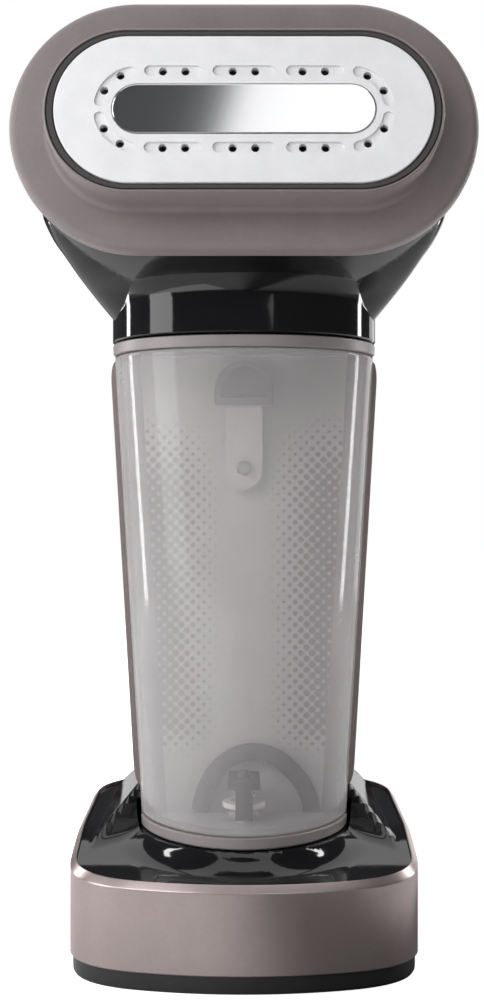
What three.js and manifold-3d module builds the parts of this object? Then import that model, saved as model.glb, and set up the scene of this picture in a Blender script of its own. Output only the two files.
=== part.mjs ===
// Handheld garment steamer: wide steam head, removable front tank, loop handle and a weighted base.
// Millimetres, +Z up, the steam plate faces -Y. The last lines centre the model over its base.
import * as THREE from 'three';
import { mergeVertices } from 'three/addons/utils/BufferGeometryUtils.js';
import Module from 'manifold-3d';

const wasm = await Module();
wasm.setup();

// ---------------------------------------------------------------- driving dimensions

const GAP = 0.3; // between neighbouring pieces
const WALL = 2.2; // of every moulded shell

const HEAD_Z = 281.4; // centre of the head's flange
const HEAD_TILT = THREE.MathUtils.degToRad(6); // the plate looks up by this much
const FLANGE = { width: 151.2, height: 82.2, centreY: 0.9, back: -9, front: 1 };
const TIER = { width: 124.6, height: 52.6, front: 16 };
const PLATE = { width: 117.9, height: 46.9, back: 13.2, front: 16.4 };
const MIRROR = { width: 81.5, height: 15.6, thick: 1 };
const TRACK = { halfHeight: 12.25, centreX: 32.65 }; // the loop that the steam holes follow
const SLOT_WIDTH = 3.4;
const HOLE_RADIUS = 1.3;

const TANK = { low: 44, high: 218, lowHalf: 38, highHalf: 48.1, front: 22, depth: 44, back: 58 };
const TRIM = 4.1; // height of the matte caps at the tank's ends
const SHELL = { front: 58.6, wall: 66, back: 68, low: 58, high: 212, proud: 1 };
const NECK_TOP = 246;
const VALVE_Y = 46;
const RIVET_Z = 173.3;

const HANDLE = { y: 119, halfWidth: 17, halfDepth: 15, low: 56.3, high: 252 };
const TRIGGER = { pinY: 107, pinZ: 214, halfWidth: 7 };
const PUMP = { y: 119, bore: 5.4, outer: 7.5, low: 84, high: 122 };
const BUTTON_Y = 69;

const BASE = { half: 60.2, front: 7, back: 138, frontRadius: 155, footTop: 6.1 };
const SLOPE = { front: 35.9, rise: 44, rear: 45 };
const DECK_TOP = 43.3;
const HUMP_TOP = 56;
const CORD_Z = 21;
const SCREW_PLACES = [[-44, 32], [44, 32], [-44, 110], [44, 110]];

const FINISH = {
  mauve: { color: 0x7d7072, roughness: 0.55, metalness: 0 },
  band: { color: 0x8a7c7c, roughness: 0.35, metalness: 0.8 },
  black: { color: 0x101011, roughness: 0.12, metalness: 0 },
  satinBlack: { color: 0x161617, roughness: 0.5, metalness: 0 },
  clear: { color: 0xbdb6b6, roughness: 0.3, metalness: 0 },
  pearl: { color: 0xd9d9d8, roughness: 0.4, metalness: 0.6 },
  mirror: { color: 0xc8c8ca, roughness: 0.05, metalness: 1 },
  rubber: { color: 0x3a3838, roughness: 0.8, metalness: 0 },
  pale: { color: 0xcfc9c8, roughness: 0.4, metalness: 0 },
  alloy: { color: 0xa9aaac, roughness: 0.45, metalness: 1 },
  steel: { color: 0x9a9b9e, roughness: 0.3, metalness: 1 },
  copper: { color: 0xa8582d, roughness: 0.4, metalness: 1 },
  board: { color: 0x2a5a36, roughness: 0.5, metalness: 0 },
  silicone: { color: 0xd8d4cc, roughness: 0.6, metalness: 0 },
};

// ---------------------------------------------------------------- solids and booleans

// The manifold solid of a closed geometry, turned to face outwards.
function solid(geometry) {
  const bare = geometry.index ? geometry.toNonIndexed() : geometry.clone();
  bare.deleteAttribute('normal');
  bare.deleteAttribute('uv');
  const merged = mergeVertices(bare, 1e-3);
  const vertProperties = merged.attributes.position.array;
  const triVerts = new Uint32Array(merged.index.array);
  const made = new wasm.Manifold(new wasm.Mesh({ numProp: 3, vertProperties, triVerts }));
  if (made.volume() > 0) return made;
  const turned = triVerts.slice().reverse();
  return new wasm.Manifold(new wasm.Mesh({ numProp: 3, vertProperties, triVerts: turned }));
}

function geometryOf(body) {
  const { vertProperties, triVerts } = body.getMesh();
  const geometry = new THREE.BufferGeometry();
  geometry.setAttribute('position', new THREE.BufferAttribute(vertProperties, 3));
  geometry.setIndex(new THREE.BufferAttribute(triVerts, 1));
  geometry.computeVertexNormals();
  return geometry;
}

const join = (first, ...others) => others.reduce((sum, next) => sum.add(next), first);
const cut = (first, ...others) => others.reduce((rest, next) => rest.subtract(next), first);

function box([x0, x1], [y0, y1], [z0, z1]) {
  const geometry = new THREE.BoxGeometry(x1 - x0, y1 - y0, z1 - z0);
  return solid(geometry.translate((x0 + x1) / 2, (y0 + y1) / 2, (z0 + z1) / 2));
}

// A round bar between two points.
function rod(radius, from, to, sides = 16) {
  const start = new THREE.Vector3(...from);
  const along = new THREE.Vector3(...to).sub(start);
  const geometry = new THREE.CylinderGeometry(radius, radius, along.length(), sides);
  const turn = new THREE.Quaternion();
  turn.setFromUnitVectors(new THREE.Vector3(0, 1, 0), along.clone().normalize());
  const centre = start.addScaledVector(along, 0.5);
  return solid(geometry.applyQuaternion(turn).translate(...centre.toArray()));
}

function tube(outer, inner, from, to, sides = 16) {
  return cut(rod(outer, from, to, sides), rod(inner, lengthen(to, from), lengthen(from, to), sides));
}

// The point 1 mm past `to`, seen from `from`.
function lengthen(from, to) {
  const end = new THREE.Vector3(...to);
  const step = end.clone().sub(new THREE.Vector3(...from)).normalize();
  return end.add(step).toArray();
}

function prism(shape, low, high, curveSegments = 8) {
  const settings = { depth: high - low, bevelEnabled: false, curveSegments };
  return solid(new THREE.ExtrudeGeometry(shape, settings).translate(0, 0, low));
}

const SIDEWAYS = new THREE.Matrix4().makeBasis(
  new THREE.Vector3(0, 1, 0), new THREE.Vector3(0, 0, 1), new THREE.Vector3(1, 0, 0));

// A shape drawn in Y and Z, extruded along X.
function sideProfile(shape, half, curveSegments = 8) {
  const settings = { depth: 2 * half, bevelEnabled: false, curveSegments };
  const geometry = new THREE.ExtrudeGeometry(shape, settings).translate(0, 0, -half);
  return solid(geometry.applyMatrix4(SIDEWAYS));
}

const BACKWARDS = new THREE.Matrix4().makeBasis(
  new THREE.Vector3(1, 0, 0), new THREE.Vector3(0, 0, 1), new THREE.Vector3(0, -1, 0));

// A shape drawn in X and Z, extruded along Y from `near` to `far`.
function frontProfile(shape, near, far, curveSegments = 8) {
  const settings = { depth: far - near, bevelEnabled: false, curveSegments };
  const geometry = new THREE.ExtrudeGeometry(shape, settings).applyMatrix4(BACKWARDS);
  return solid(geometry.translate(0, far, 0));
}

// A solid through one outline per level; outlineAt gives equally many points at each.
function loft(levels, outlineAt) {
  const outlines = levels.map(outlineAt);
  if (THREE.ShapeUtils.isClockWise(outlines[0])) outlines.forEach((line) => line.reverse());
  const count = outlines[0].length;
  const positions = outlines.flatMap((line, i) => line.flatMap((p) => [p.x, p.y, levels[i]]));
  const index = [];
  for (let ring = 0; ring + 1 < levels.length; ring += 1) {
    for (let i = 0; i < count; i += 1) {
      const a = ring * count + i;
      const b = ring * count + ((i + 1) % count);
      index.push(a, b, b + count, a, b + count, a + count);
    }
  }
  const top = (levels.length - 1) * count;
  for (const [a, b, c] of THREE.ShapeUtils.triangulateShape(outlines[0], [])) index.push(c, b, a);
  for (const [a, b, c] of THREE.ShapeUtils.triangulateShape(outlines.at(-1), [])) {
    index.push(top + a, top + b, top + c);
  }
  const geometry = new THREE.BufferGeometry();
  geometry.setAttribute('position', new THREE.Float32BufferAttribute(positions, 3));
  geometry.setIndex(index);
  return geometry;
}

// ---------------------------------------------------------------- outlines

function polygon(points) {
  return new THREE.Shape(points.map(([x, y]) => new THREE.Vector2(x, y)));
}

function stadium(width, height, centreX = 0, centreY = 0) {
  const radius = height / 2;
  const reach = width / 2 - radius;
  const shape = new THREE.Shape();
  shape.absarc(centreX + reach, centreY, radius, -Math.PI / 2, Math.PI / 2, false);
  shape.absarc(centreX - reach, centreY, radius, Math.PI / 2, 1.5 * Math.PI, false);
  shape.closePath();
  return shape;
}

// A round-ended slot bent round a centre.
function arcSlot(centreX, centreY, radius, from, to, width) {
  const at = (angle) => [centreX + radius * Math.cos(angle), centreY + radius * Math.sin(angle)];
  const shape = new THREE.Shape();
  shape.absarc(centreX, centreY, radius + width / 2, from, to, false);
  shape.absarc(...at(to), width / 2, to, to + Math.PI, false);
  shape.absarc(centreX, centreY, radius - width / 2, to, from, true);
  shape.absarc(...at(from), width / 2, from + Math.PI, from + 2 * Math.PI, false);
  shape.closePath();
  return shape;
}

// Points of |x/a|^n + |y/b|^n = 1 from one angle to another.
function ovalPoints(a, b, power, count, from, to, centreY = 0) {
  const root = (value) => Math.sign(value) * Math.abs(value) ** (2 / power);
  return Array.from({ length: count }, (_, i) => {
    const angle = from + ((to - from) * i) / (count - 1);
    return new THREE.Vector2(a * root(Math.cos(angle)), centreY + b * root(Math.sin(angle)));
  });
}

function oval(a, b, power, centreY, count = 32) {
  return ovalPoints(a, b, power, count + 1, 0, 2 * Math.PI, centreY).slice(0, count);
}

// 0 at the tank's foot, 1 at its top.
const upTank = (z) => (z - TANK.low) / (TANK.high - TANK.low);
const tankHalf = (z) => THREE.MathUtils.lerp(TANK.lowHalf, TANK.highHalf, upTank(z));

// The tank's plan at a height: bowed front, flat back.
function tankPlan(z, grow = 0, back = TANK.back, count = 19) {
  const power = THREE.MathUtils.lerp(1.9, 2.25, upTank(z));
  const middle = TANK.front + TANK.depth;
  const depth = TANK.depth + grow;
  const turn = back < middle ? Math.asin(((middle - back) / depth) ** (power / 2)) : 0;
  const [from, to] = [Math.PI + turn, 2 * Math.PI - turn];
  const bow = ovalPoints(tankHalf(z) + grow, depth, power, count, from, to, middle);
  if (back > middle) bow.push(new THREE.Vector2(bow.at(-1).x, back), new THREE.Vector2(bow[0].x, back));
  return bow;
}

// The base's plan: bowed front, straight sides, round rear corners.
function basePlan(inset) {
  const half = BASE.half - inset;
  const radius = BASE.frontRadius - inset;
  const centre = BASE.front + BASE.frontRadius;
  const reach = 36 - inset / 2;
  const corner = 30 - inset;
  const arc = Math.asin(reach / radius);
  const tangentY = centre - radius * Math.cos(arc) + (half - reach) * Math.tan(arc);
  const shape = new THREE.Shape();
  shape.absarc(0, centre, radius, -Math.PI / 2 - arc, -Math.PI / 2 + arc, false);
  shape.quadraticCurveTo(half, tangentY, half, 36);
  shape.absarc(half - corner, BASE.back - inset - corner, corner, 0, Math.PI / 2, false);
  shape.absarc(corner - half, BASE.back - inset - corner, corner, Math.PI / 2, Math.PI, false);
  shape.lineTo(-half, 36);
  shape.quadraticCurveTo(-half, tangentY, -reach, centre - radius * Math.cos(arc));
  return shape;
}

const handleY = (z) => HANDLE.y - 0.0024 * Math.max(0, z - 170) ** 2;

function handlePlan(z, inset = 0) {
  const flare = 6 * (Math.max(0, 80 - z) / 24) ** 2;
  const { halfWidth, halfDepth } = HANDLE;
  return oval(halfWidth + flare - inset, halfDepth - inset, 2.4, handleY(z), 20);
}

// ---------------------------------------------------------------- curves

class Helix extends THREE.Curve {
  constructor(radius, pitch, turns) {
    super();
    Object.assign(this, { radius, pitch, turns });
  }

  getPoint(t) {
    const angle = t * this.turns * 2 * Math.PI;
    const rise = t * this.turns * this.pitch;
    return new THREE.Vector3(this.radius * Math.cos(angle), this.radius * Math.sin(angle), rise);
  }
}

function swept(path, radius, steps, sides = 8) {
  const section = new THREE.Shape().absarc(0, 0, radius, 0, 2 * Math.PI, false);
  const points = section.getSpacedPoints(sides).slice(0, sides);
  return new THREE.ExtrudeGeometry(new THREE.Shape(points), { steps, extrudePath: path });
}

// A coil spring along Z between two heights.
function coil(radius, wire, low, high, turns, x, y) {
  const pitch = (high - low - 2 * wire) / turns;
  const geometry = swept(new Helix(radius, pitch, turns), wire, turns * 8, 5);
  return geometry.translate(x, y, low + wire);
}

function hose(points, radius, steps) {
  const path = new THREE.CatmullRomCurve3(points.map((p) => new THREE.Vector3(...p)));
  return swept(path, radius, steps, 6);
}

// ---------------------------------------------------------------- scene graph

const root = new THREE.Group();
const head = new THREE.Group();
head.position.set(0, 0, HEAD_Z);
head.rotation.x = Math.PI / 2 - HEAD_TILT;
root.add(head);
head.updateMatrixWorld(true);

function place(group, name, finish, shape) {
  const geometry = shape.isBufferGeometry ? shape : geometryOf(shape);
  const mesh = new THREE.Mesh(geometry, new THREE.MeshStandardMaterial(FINISH[finish]));
  mesh.name = name;
  group.add(mesh);
}

// ---------------------------------------------------------------- head front

function headRing() {
  const settings = { depth: 4, bevelThickness: 3, bevelSize: 3, bevelSegments: 2, curveSegments: 12 };
  const flat = stadium(FLANGE.width - 6, FLANGE.height - 6, 0, FLANGE.centreY);
  const flange = solid(new THREE.ExtrudeGeometry(flat, settings).translate(0, 0, FLANGE.back + 3));
  const tier = prism(stadium(TIER.width, TIER.height), FLANGE.front - 1, TIER.front, 12);
  const seat = prism(stadium(TIER.width - 1.6, TIER.height - 1.6), PLATE.back - 0.5, TIER.front + 1, 12);
  const bore = prism(stadium(113, 43), FLANGE.back - 1, TIER.front);
  return cut(join(flange, tier), seat, bore);
}

function plateGasket() {
  const lip = 1.6 + 2 * GAP;
  const ring = prism(stadium(TIER.width - lip, TIER.height - lip), PLATE.back, TIER.front - 0.1, 12);
  return cut(ring, prism(stadium(PLATE.width + 2 * GAP, PLATE.height + 2 * GAP), 0, 20, 12));
}

// [x, y] of the two holes in each straight slot and each corner slot.
function holePlaces() {
  const places = [];
  for (const side of [-1, 1]) {
    for (const slot of [-1, 0, 1]) {
      for (const hole of [-1, 1]) places.push([slot * 21.65 + hole * 3.5, side * TRACK.halfHeight]);
    }
    for (const angle of [29.7, 62.6]) {
      const turn = THREE.MathUtils.degToRad(angle);
      const x = TRACK.centreX + TRACK.halfHeight * Math.cos(turn);
      const y = TRACK.halfHeight * Math.sin(turn);
      places.push([x, side * y], [-x, side * y]);
    }
  }
  return places;
}

function slotShapes() {
  const shapes = [];
  const [from, to] = [12, 77].map(THREE.MathUtils.degToRad);
  for (const side of [-1, 1]) {
    for (const slot of [-1, 0, 1]) {
      shapes.push(stadium(slot ? 17.9 : 19.5, SLOT_WIDTH, slot * 21.95, side * TRACK.halfHeight));
    }
    const [low, high] = side > 0 ? [from, to] : [-to, -from];
    shapes.push(arcSlot(TRACK.centreX, 0, TRACK.halfHeight, low, high, SLOT_WIDTH));
    shapes.push(arcSlot(-TRACK.centreX, 0, TRACK.halfHeight, Math.PI - high, Math.PI - low, SLOT_WIDTH));
  }
  return shapes;
}

function steamPlate() {
  const { width, height, back, front } = PLATE;
  const slab = prism(stadium(width, height), back, front, 12);
  const slots = slotShapes().map((shape) => prism(shape, front - 0.8, front + 1, 3));
  const holes = holePlaces().map(([x, y]) => rod(HOLE_RADIUS, [x, y, back - 1], [x, y, front], 6));
  const pocket = prism(stadium(MIRROR.width + 2 * GAP, MIRROR.height + 2 * GAP), front - 1.2, front + 1);
  return cut(slab, pocket, ...slots, ...holes);
}

function mirrorInsert() {
  const low = PLATE.front - 1.2 + GAP;
  return prism(stadium(MIRROR.width, MIRROR.height), low, low + MIRROR.thick);
}

// ---------------------------------------------------------------- steam generator

function steamGenerator() {
  const block = prism(stadium(108, 38), -12, PLATE.back - GAP);
  const chamber = prism(stadium(92, 28), 4, 20);
  const inlet = rod(3, [0, 6, -30], [0, 6, -11], 12);
  const bore = rod(1.4, [0, 6, -31], [0, 6, 5], 10);
  return cut(join(block, inlet), chamber, bore);
}

function generatorCover() {
  const tray = prism(stadium(108, 38), -24, -12 - GAP);
  const room = prism(stadium(100, 31), -21, -10);
  const terminals = [-8, 8].map((y) => rod(3.4, [44, y, -30], [44, y, -20], 12));
  return cut(tray, room, rod(3.6, [0, 6, -30], [0, 6, -10], 14), ...terminals);
}

// A bent tubular element whose two ends leave through the cover.
function heatingElement() {
  const bend = [[44, 8, -27], [44, 8, -22], [42, 9, -17.8], [34, 10.6, -16.6], [0, 11.6, -16.6],
    [-30, 11.4, -16.6], [-39, 7, -16.6]];
  const back = bend.map(([x, y, z]) => [x, -y, z]).reverse();
  return hose([...bend, [-42, 0, -16.6], ...back], 2.2, 32);
}

function heatShield() {
  return cut(prism(stadium(111.8, 41.8), -26, 11), prism(stadium(109, 39), -27, 12));
}

function thermostat() {
  const can = rod(8, [-24, -4, -31], [-24, -4, -24.3], 20);
  return join(can, box([-26, -22], [-10, 2], [-34, -30.5]));
}

function buildHead() {
  place(head, 'head_ring', 'mauve', headRing());
  place(head, 'plate_gasket', 'rubber', plateGasket());
  place(head, 'steam_plate', 'pearl', steamPlate());
  place(head, 'mirror_insert', 'mirror', mirrorInsert());
  place(head, 'steam_generator', 'alloy', steamGenerator());
  place(head, 'generator_cover', 'alloy', generatorCover());
  place(head, 'heating_element', 'steel', heatingElement());
  place(head, 'heat_shield', 'steel', heatShield());
  place(head, 'thermostat', 'steel', thermostat());
  place(head, 'thermal_fuse', 'pale', rod(2.4, [18, -8, -27], [34, -8, -27], 12));
}

// ---------------------------------------------------------------- head covers and neck

// Sections of the head behind its flange: depth, half width, half height, centre and squareness.
const HULL = [
  [-9.3, 71, 37, 0.4, 2.3], [-24, 71.5, 37.8, -3, 2.4], [-42, 69.5, 38.8, -6.2, 2.5],
  [-60, 63, 39, -8, 2.5], [-76, 54, 36.7, -7.8, 2.4], [-94, 41.5, 30, -10, 2.3],
  [-110, 28, 20.5, -14.5, 2.2], [-120, 16, 12, -20, 2.1],
];

// Plans of the funnel that widens from the neck into the head: height, half width, where it is
// widest, front and back.
const FUNNEL = [
  [224.5, 45.2, 54, 40, 64], [227, 47.4, 54, 38, 64.5], [234, 53.2, 48, 34, 68], [240, 57.8, 40, 26, 72],
  [246, 61.9, 35, 19, 76], [251, 65.4, 32, 15, 79], [258, 68.6, 30, 12, 82], [264, 69.3, 30, 12, 84],
];

function funnel(grow) {
  const outline = (_, i) => {
    const [, half, middle, front, back] = FUNNEL[i];
    const bow = ovalPoints(half + grow, middle - front + grow, 2.25, 21, Math.PI, 2 * Math.PI, middle);
    const rear = ovalPoints(half + grow, back - middle + grow, 2.5, 21, 0, Math.PI, middle);
    return [...bow, ...rear.slice(1, -1)];
  };
  const levels = FUNNEL.map(([z], i) => (i === 0 ? z - Math.max(grow, 0) : z));
  return solid(loft(levels, outline));
}

function hull(grow, first = HULL[0][0]) {
  const levels = HULL.map(([depth], i) => (i === 0 ? first : depth));
  levels[levels.length - 1] -= grow;
  const outline = (level, i) => {
    const [, a, b, centre, power] = HULL[i];
    return oval(a + grow, b + grow, power, centre, 28);
  };
  return join(solid(loft(levels, outline).applyMatrix4(head.matrixWorld)), funnel(grow));
}

function neck(grow, low, high) {
  return solid(loft([low, high], () => tankPlan(TANK.high, grow, SHELL.back + grow)));
}

const BORE_LEVELS = [HANDLE.low - 4, 80, 170, 200, 225, HANDLE.high];
const handleBore = solid(loft(BORE_LEVELS, (z) => handlePlan(z, WALL)));

// The half of space above (1) or below (-1) the seam between the two covers.
function seamBlock(side) {
  const geometry = new THREE.BoxGeometry(200, 120, 200).translate(0, side * (60 + GAP / 2), -60);
  return solid(geometry.applyMatrix4(head.matrixWorld));
}

function headShell() {
  const outside = join(hull(0), neck(0, TANK.high + 2 * GAP, NECK_TOP));
  const inside = join(hull(-WALL, -5), neck(-WALL, TANK.high + 2 * GAP + WALL, NECK_TOP + 1));
  return cut(outside, inside, handleBore);
}

function catchFrame() {
  const frame = box([-9.5, 9.5], [51, 57], [219.8, 254]);
  return cut(frame, box([-7.5, 7.5], [50, 58], [219, 252.3]));
}

function headCoverBottom(shell) {
  return shell.intersect(seamBlock(-1)).intersect(hull(0));
}

// The neck under the head, with the frame that guides the tank's catch.
function neckCollar(shell) {
  const around = shell.intersect(neck(1, TANK.high, NECK_TOP));
  const collar = join(cut(around, hull(GAP)), catchFrame());
  const tongueHole = box([-5.6, 5.6], [51.4, 56.6], [217, 223]);
  const tabHole = box([-6.6, 6.6], [64, 70], [221.1, 228.7]);
  return cut(collar, tongueHole, tabHole);
}

function headCoverTop(shell) {
  const hole = rod(7.4, [0, BUTTON_Y, 290], [0, BUTTON_Y, 315], 24);
  return cut(shell.intersect(seamBlock(1)), hole);
}

function powerButton() {
  const cap = rod(7, [0, BUTTON_Y, 296], [0, BUTTON_Y, 306.5], 24);
  const flange = rod(8.5, [0, BUTTON_Y, 294.5], [0, BUTTON_Y, 297], 24);
  return cut(join(cap, flange), rod(2.6, [0, BUTTON_Y, 305.2], [0, BUTTON_Y, 308], 16));
}

function buttonBoard() {
  const plate = box([-15, 15], [57, 81], [276, 277.6]);
  return join(plate, box([-6, 6], [BUTTON_Y - 6, BUTTON_Y + 6], [277, 285.4]));
}

function buildCovers() {
  const shell = headShell();
  place(root, 'head_cover_top', 'black', headCoverTop(shell));
  place(root, 'head_cover_bottom', 'black', headCoverBottom(shell));
  place(root, 'neck_collar', 'black', neckCollar(shell));
  place(root, 'power_button', 'mauve', powerButton());
  place(root, 'power_lens', 'pale', rod(2.3, [0, BUTTON_Y, 305.5], [0, BUTTON_Y, 306.9], 16));
  place(root, 'button_spring', 'steel', coil(3.6, 0.4, 285.7, 294.2, 4, 0, BUTTON_Y));
  place(root, 'button_board', 'board', buttonBoard());
}

// ---------------------------------------------------------------- column shell

// How far the shell stands out of the tank's width, rounded off towards its ends.
function shellProud(z) {
  const inside = Math.min(z - SHELL.low, SHELL.high - z);
  if (inside <= 0) return -1;
  const turn = Math.min(inside / 8, 1);
  return -1 + (SHELL.proud + 1) * Math.sqrt(1 - (1 - turn) ** 2);
}

function shellPlan(z) {
  const half = tankHalf(z) + shellProud(z);
  const corner = 9;
  const rear = ovalPoints(corner, corner, 2, 6, 0, Math.PI / 2, SHELL.back - corner);
  const right = rear.map((p) => new THREE.Vector2(p.x + half - corner, p.y));
  const left = right.map((p) => new THREE.Vector2(-p.x, p.y)).reverse();
  return [new THREE.Vector2(half, SHELL.front), ...right, ...left, new THREE.Vector2(-half, SHELL.front)];
}

function columnShell() {
  const { low, high, wall } = SHELL;
  const lower = [DECK_TOP + GAP, low, low + 0.8, low + 3, low + 8];
  const levels = [...lower, high - 8, high - 3, high - 0.8, high, TANK.high - GAP];
  const outside = solid(loft(levels, shellPlan));
  const pocket = loft([DECK_TOP - 1, 220], (z) => {
    const half = tankHalf(z) - 2.6;
    const slant = half - 7;
    return polygon([[-half, 0], [half, 0], [half, wall - 6], [slant, wall], [-slant, wall],
      [-half, wall - 6]]).getPoints();
  });
  return cut(outside, solid(pocket));
}

// ---------------------------------------------------------------- tank

function tankBody() {
  const [low, high] = [TANK.low + 4, TANK.high - 4.4];
  const levels = [low, low + 1.2, 130, high - 1.2, high];
  const inset = (z) => (z === low || z === high ? -1.6 : -0.4);
  const outside = solid(loft(levels, (z) => tankPlan(z, inset(z))));
  const inside = solid(loft([low + 2, 130, high - 2], (z) => tankPlan(z, -2.4, TANK.back - 2)));
  const boss = rod(5.5, [0, VALVE_Y, low + 1], [0, VALVE_Y, low + 4.8], 16);
  const outlet = rod(3.3, [0, VALVE_Y, low - 2], [0, VALVE_Y, low + 8], 16);
  return cut(join(cut(outside, inside), boss), outlet, frontProfile(fillerOutline(2.4), 50, 60));
}

// The D of the filler, shrunk by an inset: round above, flat below.
function fillerOutline(inset) {
  const radius = 10.8 - inset;
  const shape = new THREE.Shape();
  shape.absarc(0, 201.6, radius, 0, Math.PI, false);
  shape.lineTo(-radius, 196.2 + inset);
  shape.lineTo(radius, 196.2 + inset);
  return shape;
}

function tankTopTrim() {
  const levels = [TANK.high - TRIM, TANK.high - 0.8, TANK.high];
  return solid(loft(levels, (z) => tankPlan(z, z === TANK.high ? -0.8 : 0)));
}

function tankBottomTrim() {
  const levels = [DECK_TOP + GAP, DECK_TOP + 1.1, TANK.low + 3.7];
  const trim = solid(loft(levels, (z) => tankPlan(z, z === levels[0] ? -0.8 : 0)));
  return cut(trim, rod(3.4, [0, VALVE_Y, 40], [0, VALVE_Y, 50], 16));
}

function fillerArm() {
  const reach = new THREE.Shape();
  reach.absarc(0, RIVET_Z - 1, 6.7, Math.PI, 2 * Math.PI, false);
  reach.lineTo(6.7, 200);
  reach.lineTo(-6.7, 200);
  const plate = join(frontProfile(reach, 60.9, 63.1), frontProfile(fillerOutline(1), 60.9, 63.1));
  return cut(plate, rod(2.55, [0, 60, RIVET_Z], [0, 64, RIVET_Z], 16));
}

function fillerRivet() {
  const shank = rod(2.2, [0, TANK.back + GAP, RIVET_Z], [0, 63.5, RIVET_Z], 14);
  return join(shank, rod(3.6, [0, 63.4, RIVET_Z], [0, 64.6, RIVET_Z], 16));
}

function tankValve() {
  const stem = rod(2.8, [0, VALVE_Y, 44.6], [0, VALVE_Y, 54], 14);
  return join(stem, rod(7.6, [0, VALVE_Y, 53.1], [0, VALVE_Y, 55.1], 20));
}

function valveBridge() {
  const top = box([-5.6, 5.6], [36, 55.6], [61, 63.6]);
  const legs = [[36, 37.8], [53.8, 55.6]].map((y) => box([-3, 3], y, [50.3, 62]));
  const knob = new THREE.SphereGeometry(3, 12, 8).translate(0, VALVE_Y, 63.4);
  return join(top, ...legs, solid(knob));
}

function tankCatch() {
  const bar = box([-5, 5], [52, 56], [218.9, 240]);
  return join(bar, box([-6, 6], [55, 74], [221.6, 225.6]));
}

function buildTank() {
  place(root, 'column_shell', 'mauve', columnShell());
  place(root, 'tank_body', 'clear', tankBody());
  place(root, 'tank_top_trim', 'mauve', tankTopTrim());
  place(root, 'tank_bottom_trim', 'mauve', tankBottomTrim());
  place(root, 'filler_arm', 'pale', fillerArm());
  place(root, 'filler_seal', 'rubber', frontProfile(fillerOutline(0), TANK.back + GAP, 60.6));
  place(root, 'filler_rivet', 'steel', fillerRivet());
  place(root, 'tank_valve', 'pale', tankValve());
  place(root, 'valve_spring', 'steel', coil(3.8, 0.45, 55.4, 60.7, 3, 0, VALVE_Y));
  place(root, 'valve_bridge', 'satinBlack', valveBridge());
  place(root, 'tank_catch', 'satinBlack', tankCatch());
  place(root, 'catch_spring', 'steel', coil(2.6, 0.45, 240.3, 252, 5, 0, 54));
}

// ---------------------------------------------------------------- handle

function handleHalf(side) {
  const levels = [HANDLE.low, 62, 70, 80, 170, 185, 200, 215, 230, HANDLE.high];
  const outside = solid(loft(levels, (z) => handlePlan(z)));
  const half = loft(levels.with(0, HANDLE.low - 1).with(-1, HANDLE.high + 1), (z) => {
    const seam = handleY(z) + (side * GAP) / 2;
    const far = seam + side * 40;
    return polygon([[-40, seam], [40, seam], [40, far], [-40, far]]).getPoints();
  });
  return cut(outside.intersect(solid(half)), handleBore, hull(GAP), neck(GAP, 210, 256));
}

function handleGrip() {
  const { pinY, pinZ, halfWidth } = TRIGGER;
  const bosses = [-1, 1].map((side) =>
    rod(4, [side * 10.6, pinY, pinZ], [side * 14.2, pinY, pinZ], 14));
  const slot = box([-halfWidth - 0.5, halfWidth + 0.5], [80, 108], [176.4, 219.4]);
  const window = box([-4.5, 4.5], [98, 108], [154.4, 166.8]);
  const pinBore = rod(1.85, [-13, pinY, pinZ], [13, pinY, pinZ], 14);
  return cut(join(handleHalf(-1), ...bosses), slot, window, pinBore);
}

function trigger() {
  const { pinY, pinZ, halfWidth } = TRIGGER;
  const shape = new THREE.Shape();
  shape.moveTo(104.6, 178.4);
  shape.lineTo(104.8, 206);
  shape.lineTo(pinY + 4.2, pinZ);
  shape.absarc(pinY, pinZ, 4.2, 0, Math.PI / 2, false);
  shape.lineTo(100.5, pinZ + 2);
  shape.quadraticCurveTo(97.6, 208, 95.4, 200);
  shape.quadraticCurveTo(93.8, 188, 98, 178.4);
  const lever = sideProfile(shape, halfWidth, 5);
  return cut(lever, rod(1.85, [-10, pinY, pinZ], [10, pinY, pinZ], 14));
}

function triggerSpring() {
  const helix = swept(new Helix(2.6, 0.82, 2.5), 0.35, 20, 5);
  return helix.rotateY(Math.PI / 2).translate(7.95, TRIGGER.pinY, TRIGGER.pinZ);
}

function lockSlider() {
  const plate = box([-6, 6], [107.2, 109], [150, 166]);
  const tab = box([-4, 4], [101.6, 108], [155, 161]);
  const ribs = [156.4, 158, 159.6].map((z) => box([-4, 4], [101, 102], [z - 0.4, z + 0.4]));
  return join(plate, tab, ...ribs);
}

function microswitch() {
  const body = box([-3.2, 3.2], [113, 121], [184, 198]);
  return cut(body, box([-1.8, 1.8], [112, 117.4], [189.2, 192.8]));
}

function buildHandle() {
  const { pinY, pinZ } = TRIGGER;
  place(root, 'handle_grip', 'mauve', handleGrip());
  place(root, 'handle_back', 'black', handleHalf(1));
  place(root, 'trigger', 'satinBlack', trigger());
  place(root, 'trigger_pin', 'steel', rod(1.5, [-12.6, pinY, pinZ], [12.6, pinY, pinZ], 12));
  place(root, 'trigger_spring', 'steel', triggerSpring());
  place(root, 'lock_slider', 'satinBlack', lockSlider());
  place(root, 'microswitch', 'satinBlack', microswitch());
  place(root, 'switch_plunger', 'pale', box([-1.5, 1.5], [107.3, 115.2], [189.5, 192.5]));
}

// ---------------------------------------------------------------- pump and hoses

function pumpHousing() {
  const { y, bore, outer, low, high } = PUMP;
  const nipple = rod(3, [0, y, low - 8], [0, y, low + 1], 12);
  const barrel = rod(outer, [0, y, low], [0, y, high], 20);
  const room = rod(bore, [0, y, low + 2], [0, y, high + 1], 20);
  return cut(join(cut(barrel, room), nipple), rod(1.4, [0, y, low - 9], [0, y, low + 3], 10));
}

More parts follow.
